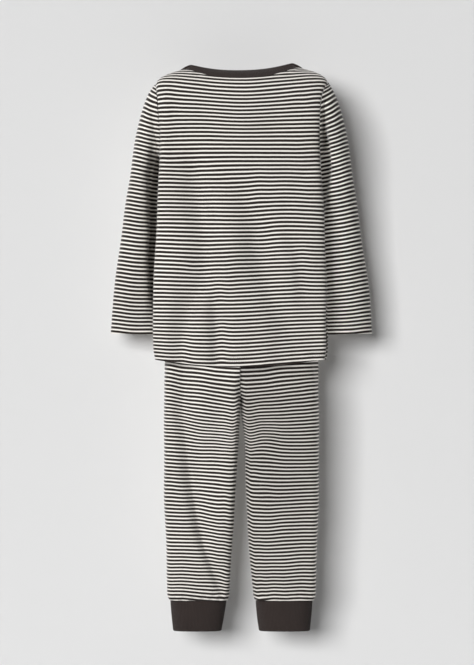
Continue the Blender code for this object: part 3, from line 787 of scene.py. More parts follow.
sleeve = {
    "rings": {
        "columns": ("ring", "outer", "outerDown", "tuck", "innerDown", "middle", "depth"),
        "rows": (
            (0, 121.6, 16, 0, 118, -5, 62), (1, 130.4, 31, -0.3, 119.2, -3.5, 67),
            (2, 138, 50, -0.6, 121, 0, 73), (3, 143.8, 71, -0.8, 123.5, 5, 78),
            (4, 148.6, 94, -0.4, 128, 11, 82), (5, 152.6, 119, 1, 136, 16, 84),
            (6, 157, 149, 3.5, 156, 20, 82), (7, 162.6, 186, 5.5, 188, 23.5, 77),
            (8, 168, 228, 6.5, 228, 26, 70), (9, 173.6, 272, 6.5, 272, 27, 61),
            (10, 178.8, 318, 6.5, 318, 27, 51), (11, 181.4, 366, 6.5, 368, 27, 42),
        ),
    },
    "lastRing": 11,
    "squareness": 2.8,
    # the back of a sleeve falls away beside the body: how deep, how far out and how wide
    "valleyColumns": ("down", "depth", "out", "width"),
    "valley": {
        -1: (
            (26, 0, 4, 8), (42, 2, 5, 8), (60, 5, 6, 8), (81, 7.5, 7, 9), (102, 9.5, 7.5, 9.5),
            (123, 11, 7.5, 10), (144, 13.5, 7, 10.5), (165, 14, 5, 11), (186, 14, 2.5, 11.5),
            (207, 14, 0, 12), (228, 14.5, -3, 12.5), (260, 15, -3.5, 12), (291, 11, -4, 11),
            (312, 8, -4, 11), (333, 4, -2, 11), (350, 1, 0, 10), (366, 0, 0, 10),
        ),
        1: (
            (24, 2, 3, 5), (42, 9, 3, 5), (60, 17, 3.5, 6), (81, 24, 4, 6.5), (102, 27, 4, 7.5),
            (123, 21, 4, 7.5), (144, 13, 3.5, 8), (170, 7, 1, 8), (210, -1, 0, 12),
            (240, -4, 4, 26), (270, -6, 8, 36), (300, -8, 12, 40), (330, -10, 12, 40),
            (366, -10, 12, 40),
        ),
    },
    "leftSwing": 2.6,  # how much farther out the left one ends
    "clearance": 1.2,  # the gap beside the body, reached at clearanceDown
    "clearanceDown": 136.0,
    "calm": {"top": 12.0, "seam": 9.0, "creases": 6.0, "valley": 8.0},
    "seam": (0.5, 2.2),  # depth and width
    # creases by the distance round from the outer edge, back side negative, and by "down"
    "creases": (
        (-72, 134, -34, 172, 8, 0.9), (-64, 206, -30, 238, 9, 0.8), (-18, 268, -46, 322, 8, 0.6),
        (-58, 322, -30, 346, 6, 0.5), (-26, 92, -12, 150, 9, 0.5), (70, 136, 32, 178, 8, 1),
        (62, 196, 24, 214, 7, 1), (58, 214, 20, 240, 7, 0.8), (46, 290, 16, 318, 8, 0.6),
    ),
    "waves": (
        (80, 88, 0.15, 0.3), (30, 61, 0.6, 0.2), (-50, 103, 0.35, 0.25),
    ),
    "hemFold": 15.0,
    "count": {
        "columns": ("down", "stripe"),
        "rows": (
            (-20, 66.6), (14, 61.9), (26.5, 59.9), (40.5, 57.9), (53.5, 56), (89, 50), (133.5, 42),
            (179, 34), (246, 22), (313, 10), (366, 0), (380, -2.6),
        ),
    },
    # how far the stripes rise beside the body, in the middle and at the outer edge
    "liftColumns": ("down", "inner", "middle", "outer"),
    "lift": {
        -1: (
            (39, -6.5, -6.5, -5.5), (53, -5.8, -6.1, -4.3), (81, -4.9, -5.6, -4.6),
            (109, -3.9, -4.7, -3.8), (137, -3.1, -4.2, -3.6), (165, -1.1, -2.1, -1.5),
            (193, 0.1, -1.4, -0.8), (221, 1.1, -0.8, -0.3), (249, 0.8, -1.1, -1),
            (305, 0.7, -1.7, -1.1), (361, 0.4, -1.5, -0.7),
        ),
        1: (
            (39, -5.3, -4.9, -3.2), (53, -5.5, -5.9, -3.1), (81, -5.9, -6.9, -4.6),
            (109, -4.6, -6.2, -4.8), (137, -4.2, -5.6, -4.2), (165, -3.2, -5, -4.2),
            (193, -2.8, -4.9, -4.8), (249, -3, -4.9, -4.6), (277, -3.1, -4.8, -4.4),
            (305, -2.7, -4.1, -3.2), (333, -1.4, -2.9, -2.1), (361, -0.4, -1.5, -0.6),
        ),
    },
    # how steeply the stripes climb away from the body
    "climb": {
        "columns": ("down", "left", "right"),
        "rows": (
            (16, 0.85, 0.85), (40, 0.55, 0.57), (53, 0.41, 0.49), (89, 0.255, 0.335),
            (133, 0.195, 0.28), (179, 0.15, 0.25), (246, 0.125, 0.2), (313, 0.11, 0.155),
            (366, 0.07, 0.063),
        ),
    },
}


def clearOfBody(side, x, y, down, inset):
    # a sleeve point stays outside the wall of the body, where the sleeve hangs against it
    run = ramp(down, top["underarm"], sleeve["clearanceDown"] - top["underarm"])
    seam = 2 * fabric["halfGap"]
    clearance = seam + (sleeve["clearance"] - seam) * run + inset
    section = rowAt(top["body"], down)
    behind = y < top["sideY"]
    reach = np.where(behind, section["back"] + top["sideY"], section["front"] - top["sideY"])
    off = np.abs(y - top["sideY"]) / reach
    width = bodyEdge(down, side) * np.where(behind, crownWidth(off, -1), crownWidth(off, 1))
    kept = side * np.maximum(np.abs(x), width + clearance)
    return np.where((down <= top["underarm"]) | (off >= 1.0), x, kept)


def sleevePoint(side, turn, place, inset):
    ring = rowAt(sleeve["rings"], place)
    inner = bodyEdge(ring["innerDown"], side) + 2 * fabric["halfGap"] - ring["tuck"]
    outerDown = ring["outerDown"] - top["shoulderTilt"] * side * np.maximum(1 - place, 0.0)
    outer = ring["outer"]
    if side < 0:
        outer = outer + sleeve["leftSwing"] * (place / sleeve["lastRing"]) ** 3
    halfX = (outer - inner) / 2
    halfDown = (outerDown - ring["innerDown"]) / 2
    halfLength = np.hypot(halfX, halfDown)
    flat = 2 / (2 + (sleeve["squareness"] - 2) * ramp(place, 1.0, 1.0))
    swing = signedPower(np.cos(turn), flat) * (halfLength - inset) / halfLength
    x = (outer + inner) / 2 + halfX * swing
    down = (outerDown + ring["innerDown"]) / 2 + halfDown * swing
    # the first ring follows the armhole seam
    upper = -ridgeUp(np.array(float(side))) + inset
    drop = top["underarm"] - top["armholeMiddle"] - inset
    rise = np.where(np.cos(turn) > 0, top["armholeMiddle"] - upper, drop)
    seamDown = top["armholeMiddle"] - rise * np.cos(turn)
    seamX = bodyEdge(seamDown, side) + 2 * fabric["halfGap"]
    share = np.minimum(place, 1.0)
    x = seamX + (x - seamX) * share
    down = seamDown + (down - seamDown) * share
    depth = (ring["depth"] / 2 - inset) * np.abs(np.sin(turn)) ** flat
    y = ring["middle"] + np.where(turn < 0, -1, 1) * np.maximum(depth, fabric["halfGap"])
    return stacked(clearOfBody(side, side * x, y, down, inset), y, -down)


def sleevePiece(name, side):
    turn = (np.linspace(0, 1, 73)[None, :] - 0.5) * 2 * math.pi
    last = sleeve["lastRing"]
    place = np.concatenate((
        (0.0, 0.06, 0.16), np.linspace(0.3, last - 0.1, 108),
        (last - 0.055, last - 0.02, last)))[:, None]
    outside, way, across, along, fromSeam, fromHem = solidForm(
        lambda inset: sleevePoint(side, turn, place, inset))
    around = across - across[:, across.shape[1] // 2][:, None]
    down = -outside[..., 2]
    calm = sleeve["calm"]
    relief = ripples(sleeve["waves"], around, down) * (1 - near(along, calm["top"]))
    relief *= 1 - near(fromSeam, calm["seam"])
    relief -= pressed(sleeve["creases"], around, down) * (1 - near(fromSeam, calm["creases"]))
    valley = sideRow(sleeve, "valley", side, down)
    fromBody = np.abs(outside[..., 0]) - bodyEdge(down, side)
    trough = valley["depth"] * near(fromBody - valley["out"], valley["width"]) * (around < 0)
    relief -= trough * (1 - near(fromSeam, calm["valley"])) * (1 - near(along, calm["creases"]))
    relief -= fabric["seamDepth"] * near(along, fabric["seamWidth"])
    depth, width = sleeve["seam"]
    relief -= depth * near(fromSeam, width)
    outside, inside = hemmed(outside, way, relief, fromHem, sleeve["hemFold"])
    down = -outside[..., 2]
    out = np.maximum(np.abs(outside[..., 0]) - bodyEdge(down, side), 0.0)
    arm = "left" if side < 0 else "right"
    climb = rowAt(sleeve["climb"], down)[arm]
    climb = rowAt(sleeve["climb"], down + climb * out)[arm]
    rings = np.array(sleeve["rings"]["rows"])
    width = np.interp(down, rings[:, 2], rings[:, 1]) - bodyEdge(down, side)
    lift = sideRow(sleeve, "lift", side, down)
    inner, middle, outer = lift["inner"], lift["middle"], lift["outer"]
    stops = (-0.2, 0.02, 0.5, 0.95, 1.2)
    lift = throughStops(stops, [inner, inner, middle, outer, outer], out / width)
    stripe = rowAt(sleeve["count"], down + climb * out + lift)["stripe"]
    return shellPiece(name, outside, inside, around, stripe), outside, way, fromHem


leftSleeve = sleevePiece("leftSleeve", -1)
rightSleeve = sleevePiece("rightSleeve", 1)
print("sleeves made")


# Trousers

trousers = {
    "sideY": 5.0,
    "squareness": 2.5,
    "crown": (0.18, 7.0),  # the same for the back of each leg and of the hip
    # first share, half width and depth that the steps round a crowned section are spaced for
    "hipCrown": (0.0, 110.0, 43.0),
    "legCrown": (-1.0, 52.0, 40.0),
    "stepShares": (0.7, 0.3),  # by the length of the section and by its turning
    "legEase": 1.15,  # the rows close up towards the cuff
    "turnOut": (3.2, 0.45),  # the halves face away from each other, about this share of the width
    "centreX": -2.0,
    "waist": 300.0,
    "crotchStart": 424.0,
    "crotch": 462.0,
    "seat": (418.0, 480.0),
    "sections": (4, 5, 13),
    "hip": {
        "columns": ("down", "outer", "back", "front"),
        "rows": (
            (300, 97, 39, 49), (330, 99.6, 42, 52), (370, 104.2, 46.2, 55.5),
            (404, 107.6, 48.6, 57.5), (436, 108.5, 47.4, 56.5), (462, 108.5, 44.5, 54),
        ),
    },
    "leg": {
        "columns": ("down", "outer", "innerLeft", "innerRight", "back", "front"),
        "rows": (
            (462, 108.5, 3.4, -0.6, 44.5, 54), (480, 108.5, 5, 0.8, 43, 52.8),
            (520, 108.5, 7.5, 5.6, 40.5, 50.5), (570, 108.4, 10.3, 6.4, 37.5, 48.5),
            (600, 107.9, 11.2, 7.4, 35.5, 46.5), (640, 106.6, 13, 9.6, 33, 44),
            (690, 104.7, 15.5, 13.2, 30, 41), (720, 104.2, 16.4, 15.6, 28.5, 39.5),
            (732, 103.2, 17.2, 17, 27, 38.5), (738.4, 101.2, 19.2, 18.8, 24, 36),
        ),
    },
    "folds": {
        -1: (
            (-98, 430, -76, 560, 11, 3), (-76, 560, -52, 655, 11, 3.2),
            (-52, 655, -22, 720, 10, 2.4), (10, 462, 44, 508, 9, 2.2), (96, 440, 78, 560, 12, 1.8),
        ),
        1: (
            (8, 470, 50, 520, 10, 2.4), (-10, 468, -52, 522, 10, 2.4), (88, 560, 60, 680, 11, 2.4),
            (-86, 570, -58, 690, 11, 2.4),
        ),
    },
    "longFolds": {
        -1: (
            (
                (395, -94, 8, 20, 3), (412, -90, 9, 22, 10), (432, -90, 9, 22, 14),
                (467, -90, 9, 23, 14), (510, -82, 8.5, 25, 9.5), (551, -76, 8.5, 25, 9.5),
                (593, -68, 8.5, 25, 9.5), (635, -58.5, 8.5, 23, 9), (677, -44, 8.5, 16, 7.5),
                (719, -28.5, 8, 9, 4.5), (742, -24, 8, 8, 1),
            ),
            (
                (400, -3, 12, 8, 0), (425, -8, 12, 8, -6), (470, -13, 12, 8, -8),
                (520, -16.5, 12, 8, -8), (560, -18, 12, 8, -7), (610, -20, 11, 8, -5),
                (650, -17, 10, 8, -1.6), (690, -20, 10, 8, 0),
            ),
        ),
        1: (
            (
                (385, 40, 26, 40, 0), (410, 46, 28, 40, 6), (450, 50, 30, 40, 9),
                (500, 50, 30, 40, 9), (545, 48, 28, 36, 5), (590, 48, 26, 36, 2),
                (640, 48, 26, 36, 0),
            ),
            (
                (405, 8, 8, 9, 0), (450, 8, 8, 10, -3), (520, 13, 8, 10, -3), (600, 17, 8, 10, 0),
            ),
            (
                (540, 92, 16, 10, 0), (590, 92, 16, 10, 2.6), (690, 88, 16, 10, 3.4),
                (740, 86, 16, 10, 1.5),
            ),
        ),
    },
    "creases": {
        -1: (
            (-82, 352, 82, 352, 28, 6), (24, 330, 60, 334, 16, 4), (-36, 352, -32, 394, 15, 5),
            (-86, 356, -88, 390, 14, 4.5), (4, 468, 30, 480, 5, 0.8), (6, 492, 42, 506, 5, 0.7),
            (2, 446, 24, 452, 5, 0.5), (-8, 470, -32, 482, 5, 0.6), (-10, 500, -36, 522, 6, 0.5),
            (-26, 556, -58, 572, 7, 0.5), (28, 578, 76, 560, 8, 0.7), (22, 602, 62, 614, 7, 0.5),
            (90, 640, 56, 658, 8, 0.5), (38, 690, 70, 704, 7, 0.5),
        ),
        1: (
            (6, 482, 46, 500, 5, 0.9), (-8, 480, -44, 496, 5, 0.8), (-30, 590, -80, 574, 7, 0.9),
            (26, 580, 80, 596, 7, 0.9), (30, 612, 70, 606, 6, 0.6), (-34, 616, -72, 630, 6, 0.6),
            (-40, 690, -80, 704, 7, 0.6),
        ),
    },
    "waves": (
        (12, 84, 0.25, 0.3), (70, 109, 0.55, 0.28), (-42, 66, 0.8, 0.2),
    ),
    "waveShift": 17.0,  # so that the two legs differ
    "facingFrom": 24.0,  # creases fade nearer than this to the side line
    "calm": {"seam": 9.0, "end": 14.0, "creases": 10.0, "underHem": 6.0, "turnOut": 20.0},
    "seam": 2.2,  # width
    "endRoll": (0.5, 1.2),
    "underHem": {-1: (1.5, 398.0, 26.0), 1: (8.0, 398.0, 26.0)},  # the seat lies lower there
    # height, distance, reach and spacing of the puckers beside the centre seam, and how far and
    # how slowly their spacing wanders; the same where the leg is gathered into its cuff
    "pucker": (0.5, 3.0, 5.0, 11.0, 1.6, 17.0),
    "aboveCrotch": 30.0,
    "gathers": (0.55, 4.0, 10.0, 12.5, 3.0, 21.0),
    "count": {
        "columns": ("down", "stripe"),
        "rows": (
            (300, 82.4), (414.6, 62), (442.9, 57), (479.4, 50), (516.8, 42), (557.1, 34),
            (598.7, 26), (639.2, 18), (680.3, 10), (725.5, 1), (742, -2.2),
        ),
    },
    # how far a stripe rises above the middle of the leg towards its two edges
    "riseColumns": ("down", "inner", "halfInner", "middle", "halfOuter", "outer"),
    "rise": {
        -1: (
            (380, -5, -3.4, -1, 1.8, 4.4), (414.6, -5.7, -3.9, -1, 1.7, 4.9),
            (455, -8.2, -4.3, -0.9, 1.9, 5.4), (492, -6.9, -3.7, -1.8, 3, 4.8),
            (532, -3.5, -1.5, -1.4, 0.2, 1.4), (573, -5, -2.3, -1.1, -0.7, 0.2),
            (614, -7.8, -4.8, -1.5, -1.3, -0.8), (655, -8.6, -3.5, -2.5, -2.1, -2.1),
            (706, -6.5, -2.3, -1.8, -0.5, -1.1), (725, -4.5, -2.8, -1.2, 0.8, 0.5),
        ),
        1: (
            (380, -4, -2.7, -0.2, 0.9, 1.4), (414.6, -4.6, -3.3, -0.3, 1.1, 1.8),
            (443, -5.2, -3.2, -0.8, 2.8, 4.5), (479, -2.7, 0.9, 0.3, 2.3, 4.1),
            (517, -0.1, 3.9, 0.4, -0.2, 0.5), (557, 2.1, 1.1, 0, 0.1, 0.4),
            (599, 0.2, -0.9, -0.1, 1.1, 1.6), (639, -1.8, -1.5, 0.4, 1, 1),
            (680, -1.5, -0.4, -0.1, 1.4, 1.4), (725, -3, 1, 0.7, 1.4, 0.5),
        ),
    },
    # where a stripe is pulled up a little, or down: a line, its half width and the pull
    "pulls": {
        -1: (
            (-23, 475, -22, 502, 8, 0.9), (-45, 555, -42, 560, 9, -0.5),
            (-20, 528, -20, 540, 8, 0.6), (-88, 398, -72, 480, 12, -0.5),
            (-26, 662, -24, 690, 8, 0.8), (-23, 590, -23, 690, 7, 1.3),
            (-30, 698, -28, 728, 8, 1.4), (-100, 575, -97, 590, 10, 0.6),
        ),
        1: (
            (38, 470, 41, 528, 11, -0.8), (78, 440, 92, 470, 14, -0.6),
            (12, 466, 16, 505, 9, -0.8), (24, 528, 28, 532, 8, 0.7), (32, 482, 36, 505, 9, -1),
            (17, 530, 17, 562, 7, 0.8), (34, 584, 38, 590, 10, 1), (22, 655, 23, 700, 8, 0.9),
            (24, 708, 26, 730, 8, 2),
        ),
    },
    # the stripes turn up beside the crotch and the inside-leg seam: how much at the crotch and
    # lower down, and how far from the edge
    "hook": {-1: (3.0, 0.6, 4.5), 1: (3.0, 3.0, 4.5)},
    "hookStart": (420.0, 40.0),  # from where, and how soon they reach their height
    "hookChange": (490.0, 50.0),
    "frontFrom": 30.0,  # the stripes are half as uneven on the front
}


def seatShare(around, down, seamClosed):
    start, end = trousers["seat"]
    run = ramp(down, start, end - start)
    eased = run * run * (3 - 2 * run)
    offSeam = 1 - (1 - np.sin(math.pi * around)) ** 4
    return seamClosed + (eased - seamClosed) * offSeam


def crownSteps(start, halfWidth, reach):
    # shares of width and depth round a crowned section, stepped more closely at its corners
    dome, corner = trousers["crown"]
    across = np.linspace(start, 1.0, 3001)
    deep = crownDepth(across, 1.0, dome, corner)
    runX, runY = np.diff(across) * halfWidth, np.diff(deep) * reach
    run = running(np.hypot(runX, runY))
    bend = np.concatenate(((0.0,), running(np.abs(np.diff(np.arctan2(runY, runX))))))
    byLength, byTurn = trousers["stepShares"]
    return byLength * run / run[-1] + byTurn * bend / bend[-1], across, deep


def legPoint(side, around, row, inset):
    hipRows, crotchRows, legRows = trousers["sections"]
    waist, crotchStart, crotch = trousers["waist"], trousers["crotchStart"], trousers["crotch"]
    turn = ramp(row, hipRows, crotchRows) * math.pi / 2
    part = 1 - (1 - ramp(row, hipRows + crotchRows, legRows)) ** trousers["legEase"]
    down = waist + (crotchStart - waist) * np.minimum(row / hipRows, 1.0)
    down = down + (crotch - crotchStart) * np.sin(turn)
    down = down + (trousers["leg"]["rows"][-1][0] - crotch) * part
    closed = seatShare(around, down, 1 - np.cos(turn))
    hip, leg = rowAt(trousers["hip"], down), rowAt(trousers["leg"], down)
    behind = around < 0.5
    face = np.where(behind, -1, 1)
    flat = 2 / trousers["squareness"]
    centre = side * trousers["centreX"]

    def reachOf(form):
        return np.where(behind, form["back"], form["front"]) - face * trousers["sideY"] - inset

    def section(steps, angle, middle, half, reach):
        # crowned behind and a rounded square in front
        shares, wide, deep = steps
        x = np.where(behind, np.interp(2 * around, shares, wide), signedPower(np.cos(angle), flat))
        y = np.where(behind, np.interp(2 * around, shares, deep), np.abs(np.sin(angle)) ** flat)
        return middle + half * x, reach * y

    angle = (around - 0.5) * math.pi
    hipReach = reachOf(hip)
    hipX, hipY = section(
        crownSteps(*trousers["hipCrown"]), angle, centre, hip["outer"] - inset - centre, hipReach)
    inner = leg["innerLeft"] if side < 0 else leg["innerRight"]
    legX, legY = section(
        crownSteps(*trousers["legCrown"]), 2 * angle, (leg["outer"] + inner) / 2,
        (leg["outer"] - inner) / 2 - inset, reachOf(leg))
    x = np.maximum(hipX + (legX - hipX) * closed, centre + fabric["halfGap"])
    offset = hipY + (legY - hipY) * closed
    folds = [pressed(trousers["folds"][way], side * x, down) for way in (-1, 1)]
    offset = offset - np.where(behind, *folds) * np.minimum(offset / hipReach, 1.0) ** 2
    y = trousers["sideY"] + face * np.maximum(offset, fabric["halfGap"])
    return stacked(side * x, y, -down)


def legRowsList():
    hipRows, crotchRows, legRows = trousers["sections"]
    crotchEnd = hipRows + crotchRows
    hip = np.concatenate(((0.0, 0.04), np.linspace(0, hipRows, 39)[1:]))
    crotch = np.linspace(hipRows, crotchEnd, 17)[1:]
    return np.concatenate((hip, crotch, np.linspace(crotchEnd, crotchEnd + legRows, 93)[1:]))


def legStripePlace(side, x, y, down):
    leg, hip = rowAt(trousers["leg"], down), rowAt(trousers["hip"], down)
    closed = ramp(down, trousers["crotchStart"], trousers["crotch"] - trousers["crotchStart"])
    inner = leg["innerLeft"] if side < 0 else leg["innerRight"]
    inner = side * trousers["centreX"] * (1 - closed) + inner * closed
    outer = np.where(down < trousers["crotch"], hip["outer"], leg["outer"])
    place = (side * x - inner) / (outer - inner)
    stops = (-0.2, 0.05, 0.3, 0.5, 0.75, 0.95, 1.2)

    def riseAt(height):
        row = sideRow(trousers, "rise", side, height)
        return throughStops(stops, [
            row["inner"], row["inner"], row["halfInner"], row["middle"],
            row["halfOuter"], row["outer"], row["outer"]], place)

    rise = riseAt(down + riseAt(down)) + pressed(trousers["pulls"][side], x, down)
    rise = rise * (1 - 0.5 * ramp(y, trousers["sideY"], trousers["frontFrom"]))
    upper, lower, width = trousers["hook"][side]
    height = upper + (lower - upper) * ramp(down, *trousers["hookChange"])
    hook = height * near(side * x - inner, width) * ramp(down, *trousers["hookStart"])
    return rowAt(trousers["count"], down + rise + hook)["stripe"]


def legPiece(name, side):
    back, front = np.linspace(0.02, 0.5, 95), np.linspace(0.5, 0.98, 50)[1:]
    around = np.concatenate(((0.0, 0.004, 0.011), back, front, (0.989, 0.996, 1.0)))[None, :]
    row = legRowsList()[:, None]
    outside, way, across, _, fromSeam, fromEnd = solidForm(
        lambda inset: legPoint(side, around, row, inset))
    x, y, down = outside[..., 0], outside[..., 1], -outside[..., 2]
    facing = np.clip(np.abs(y - trousers["sideY"]) / trousers["facingFrom"], 0.0, 1.0)
    behind = np.where(around < 0.5, 1.0, 0.0)
    calm = trousers["calm"]
    relief = ripples(trousers["waves"], x + trousers["waveShift"] * side, down)
    relief = relief * (1 - near(fromSeam, calm["seam"])) * (1 - near(fromEnd, calm["end"]))
    creases = pressed(trousers["creases"][-1], x, down) * behind
    creases += longFolds(trousers["longFolds"][side], x, down) * behind
    creases += pressed(trousers["creases"][1], x, down) * (1 - behind)
    relief -= creases * facing * (1 - near(fromEnd, calm["creases"]))
    depth, middle, width = trousers["underHem"][side]
    fade = 1 - near(fromSeam, calm["underHem"])
    relief -= depth * near(down - middle, width) * facing * behind * fade
    height, middle = trousers["turnOut"]
    outwards = np.clip(side * x / trousers["hip"]["rows"][-1][1], 0.0, 1.0)
    fade = 1 - near(fromEnd, calm["turnOut"])
    relief += height * (middle - outwards) * facing * behind * fade
    height, distance, reach, spacing, wander, slow = trousers["pucker"]
    height = height * near(fromSeam - distance, reach)
    height = height * ramp(trousers["crotch"] - down, 0.0, trousers["aboveCrotch"])
    relief += height * np.sin(2 * math.pi * (down + wander * np.sin(down / slow)) / spacing)
    relief -= fabric["seamDepth"] * near(fromSeam, trousers["seam"])
    height, distance, reach, spacing, wander, slow = trousers["gathers"]
    uneven = across + wander * np.sin(across / slow + side)
    relief += height * near(fromEnd - distance, reach) * np.sin(2 * math.pi * uneven / spacing)
    depth, width = trousers["endRoll"]
    relief -= depth * near(fromEnd, width)
    outside = outside + way * relief[..., None]
    stripe = legStripePlace(side, outside[..., 0], y, -outside[..., 2])
    return shellPiece(name, outside, outside - way * fabric["wall"], across, stripe)


leftLeg = legPiece("leftLeg", -1)
rightLeg = legPiece("rightLeg", 1)
print("trousers made")


# Rib bands and waistband

neckRib = {
    "topOut": 70.5,
    "topBack": 18.0,
    "topFront": 44.0,
    "rise": 7.9,
    "backDip": (9.7, 2.3),  # how far the free edge dips behind the neck, and how squarely
    "bulge": 0.9,
    "frontExtraRise": 3.0,
    "steps": 7,
    "roundTop": 0.13,  # share of the height that the round fold takes up
    "seamWall": 2.2,
    "height": 12.0,  # about, for the share that the gap at the seam takes
    "lean": (0.6, 0.8),  # the way out of the rib, sideways and up
}


def ribPoint(turn, height, inset):
    # height 0 is the neck seam and 1 the free folded edge
    neckShare = top["neckOut"] / top["shoulderOut"]
    fraction = neckShare * np.cos(turn)
    backward = np.sin(turn) < 0

    def seamAt(value):
        back, front = (
            yokePoint(fraction, neckAngle(fraction, face), face, value) for face in (-1, 1))
        return np.where(np.broadcast_to(backward, back.shape[:-1])[..., None], back, front)

    seam = seamAt(fabric["solidWall"] * inset / neckRib["seamWall"])
    reach = np.where(backward, neckRib["topBack"], neckRib["topFront"])
    sideways, upwards = neckRib["lean"]
    topX = (neckRib["topOut"] - inset * sideways) * np.cos(turn)
    topY = top["sideY"] + (reach - inset * sideways) * np.sin(turn)
    topZ = seamAt(0.0)[..., 2] + neckRib["rise"]
    topZ = topZ + neckRib["frontExtraRise"] * np.maximum(np.sin(turn), 0.0)
    dip, square = neckRib["backDip"]
    backZ = ridgeUp(neckShare) + neckRib["rise"] + top["shoulderTilt"] * (fraction - neckShare)
    backZ = backZ - dip * (1 - np.abs(np.cos(turn)) ** square)
    end = stacked(topX, topY, np.where(backward, backZ, topZ) - inset * upwards)
    start = 2 * fabric["halfGap"] / neckRib["height"]
    share = np.asarray(start + (1 - start) * height)
    swell = neckRib["bulge"] * np.sin(math.pi * share)
    lift = stacked(
        sideways * swell * np.cos(turn), sideways * swell * np.sin(turn), upwards * swell)
    return seam + (end - seam) * share[..., None] + lift


cuff = {
    "seamDown": 738.7,
    "edgeDown": 782.0,
    "squareness": 2.5,
    "inner": {-1: "innerLeft", 1: "innerRight"},
    "rows": {
        "columns": ("down", "outer", "innerLeft", "innerRight", "back", "front"),
        "rows": (
            (738.7, 99.6, 20.8, 19.9, 22, 34), (750, 98.8, 22.6, 20.6, 21, 33),
            (766, 97.4, 25.2, 22.2, 19.6, 31.6), (782, 95.6, 28.2, 24.6, 18, 30),
        ),
    },
    "steps": 20,
    "roundTop": 0.03,
}


def bandPoint(band, side, turn, height, inset):
    # height 0 is the seam and 1 the folded edge
    down = band["seamDown"] + (band["edgeDown"] - band["seamDown"]) * height
    section = rowAt(band["rows"], down)
    inner = section[band["inner"][side]]
    half = (section["outer"] - inner) / 2 - inset
    flat = 2 / band["squareness"]
    face = np.where(np.sin(turn) < 0, -1, 1)
    reach = np.where(face < 0, section["back"], section["front"]) - face * trousers["sideY"] - inset
    x = (section["outer"] + inner) / 2 + half * signedPower(np.cos(turn), flat)
    y = trousers["sideY"] + face * reach * np.abs(np.sin(turn)) ** flat
    return stacked(side * x, y, -down)


def evenTurns(pointAt, count):
    # turns that are evenly spaced along the middle of the band, and the length of the band
    turns = np.linspace(0, 2 * math.pi, 3001)
    run = running(np.linalg.norm(np.diff(pointAt(turns, 0.5, 0.0), axis=0), axis=1))
    return np.interp(np.linspace(0, run[-1], count + 1), run, turns), run[-1]


def bandGrid(pointAt, columns, steps, wall, roundTop):
    # turn, height and inset all over a folded band, its points and the way out of it
    side = np.linspace(0.0, 1 - roundTop, steps)
    over = np.linspace(0, math.pi, 7)[1:-1]
    heights = np.concatenate((side, 1 - roundTop + roundTop * np.sin(over), side[::-1]))
    insets = np.concatenate((np.zeros(steps), wall / 2 * (1 - np.cos(over)), np.full(steps, wall)))
    turn = evenTurns(pointAt, columns)[0][:-1, None]
    height, inset = heights[None, :], insets[None, :]
    out = unit(pointAt(turn, height, 0.0) - pointAt(turn, height, wall))
    return turn, height, inset, pointAt(turn, height, inset), out


def bandMap(columns, step, height, tall, start=0.0):
    u = np.arange(columns + 1)[:, None] * step
    return stacked(u, np.concatenate((height[0], height[0, :1]))[None, :] * tall + start)


def ribBand(name, pointAt, band):
    # the fold at height 1 is round, and every rib is a ridge that runs over it
    steps, roundTop = band["steps"], band["roundTop"]
    wall, perRib = ribKnit["wall"], ribKnit["columnsPerRib"]
    columns = int(round(evenTurns(pointAt, 8)[1] / ribKnit["pitch"])) * perRib
    turn, height, inset, points, out = bandGrid(pointAt, columns, steps, wall, roundTop)
    tip = unit(pointAt(turn, 1.0, inset) - pointAt(turn, 0.6, inset))
    sideways = 1 - 2 * inset / wall
    endways = np.where(height > 1 - roundTop, np.sqrt(np.maximum(1 - sideways**2, 0.0)), 0.0)
    ridge = (ribKnit["ridge"] * np.cos(2 * math.pi * np.arange(columns) / perRib))[:, None, None]
    flatter, reach = ribKnit["atSeam"]
    sideways = sideways * (1 - flatter * near(height, reach))
    points = points + ridge * (out * sideways[..., None] + tip * endways[..., None])
    clothMap = bandMap(columns, ribKnit["pitch"] / perRib, height, ribKnit["tall"])
    return ringPiece(name, points, clothMap, ribLook)


ribPiece = ribBand("neckRib", ribPoint, neckRib)
cuffPieces = [
    ribBand(name, functools.partial(bandPoint, cuff, side), cuff)
    for side, name in ((-1, "leftCuff"), (1, "rightCuff"))
]
print("rib bands made")

waistband = {
    "seamDown": 299.7,
    "edgeDown": 271.0,
    "squareness": 2.5,
    "inner": {1: "inner"},
    "rows": {
        "columns": ("down", "outer", "inner", "back", "front"),
        "rows": (
            (271, 94.6, -94.6, 36.6, 46.6), (285, 95.4, -95.4, 37.4, 47.4),
            (299.7, 96.8, -96.8, 38.8, 48.8),
        ),
    },
    "wall": 2.6,
    "gathers": 46,
    "gatherDepth": 0.7,
    "columns": 460,
    "steps": 12,
    "roundTop": 0.05,
    "unevenGathers": ((0.35, 9), (0.2, 23)),
    "stitchLines": (0.12, 0.9),  # heights of the two lines of stitching that hold the elastic
    "stitchSink": (0.35, 0.05),
    "stretch": 1.25,  # flat length of the cloth over its length when gathered
    "flat": (29.0, 300.0),  # height and start in the flat cloth
}


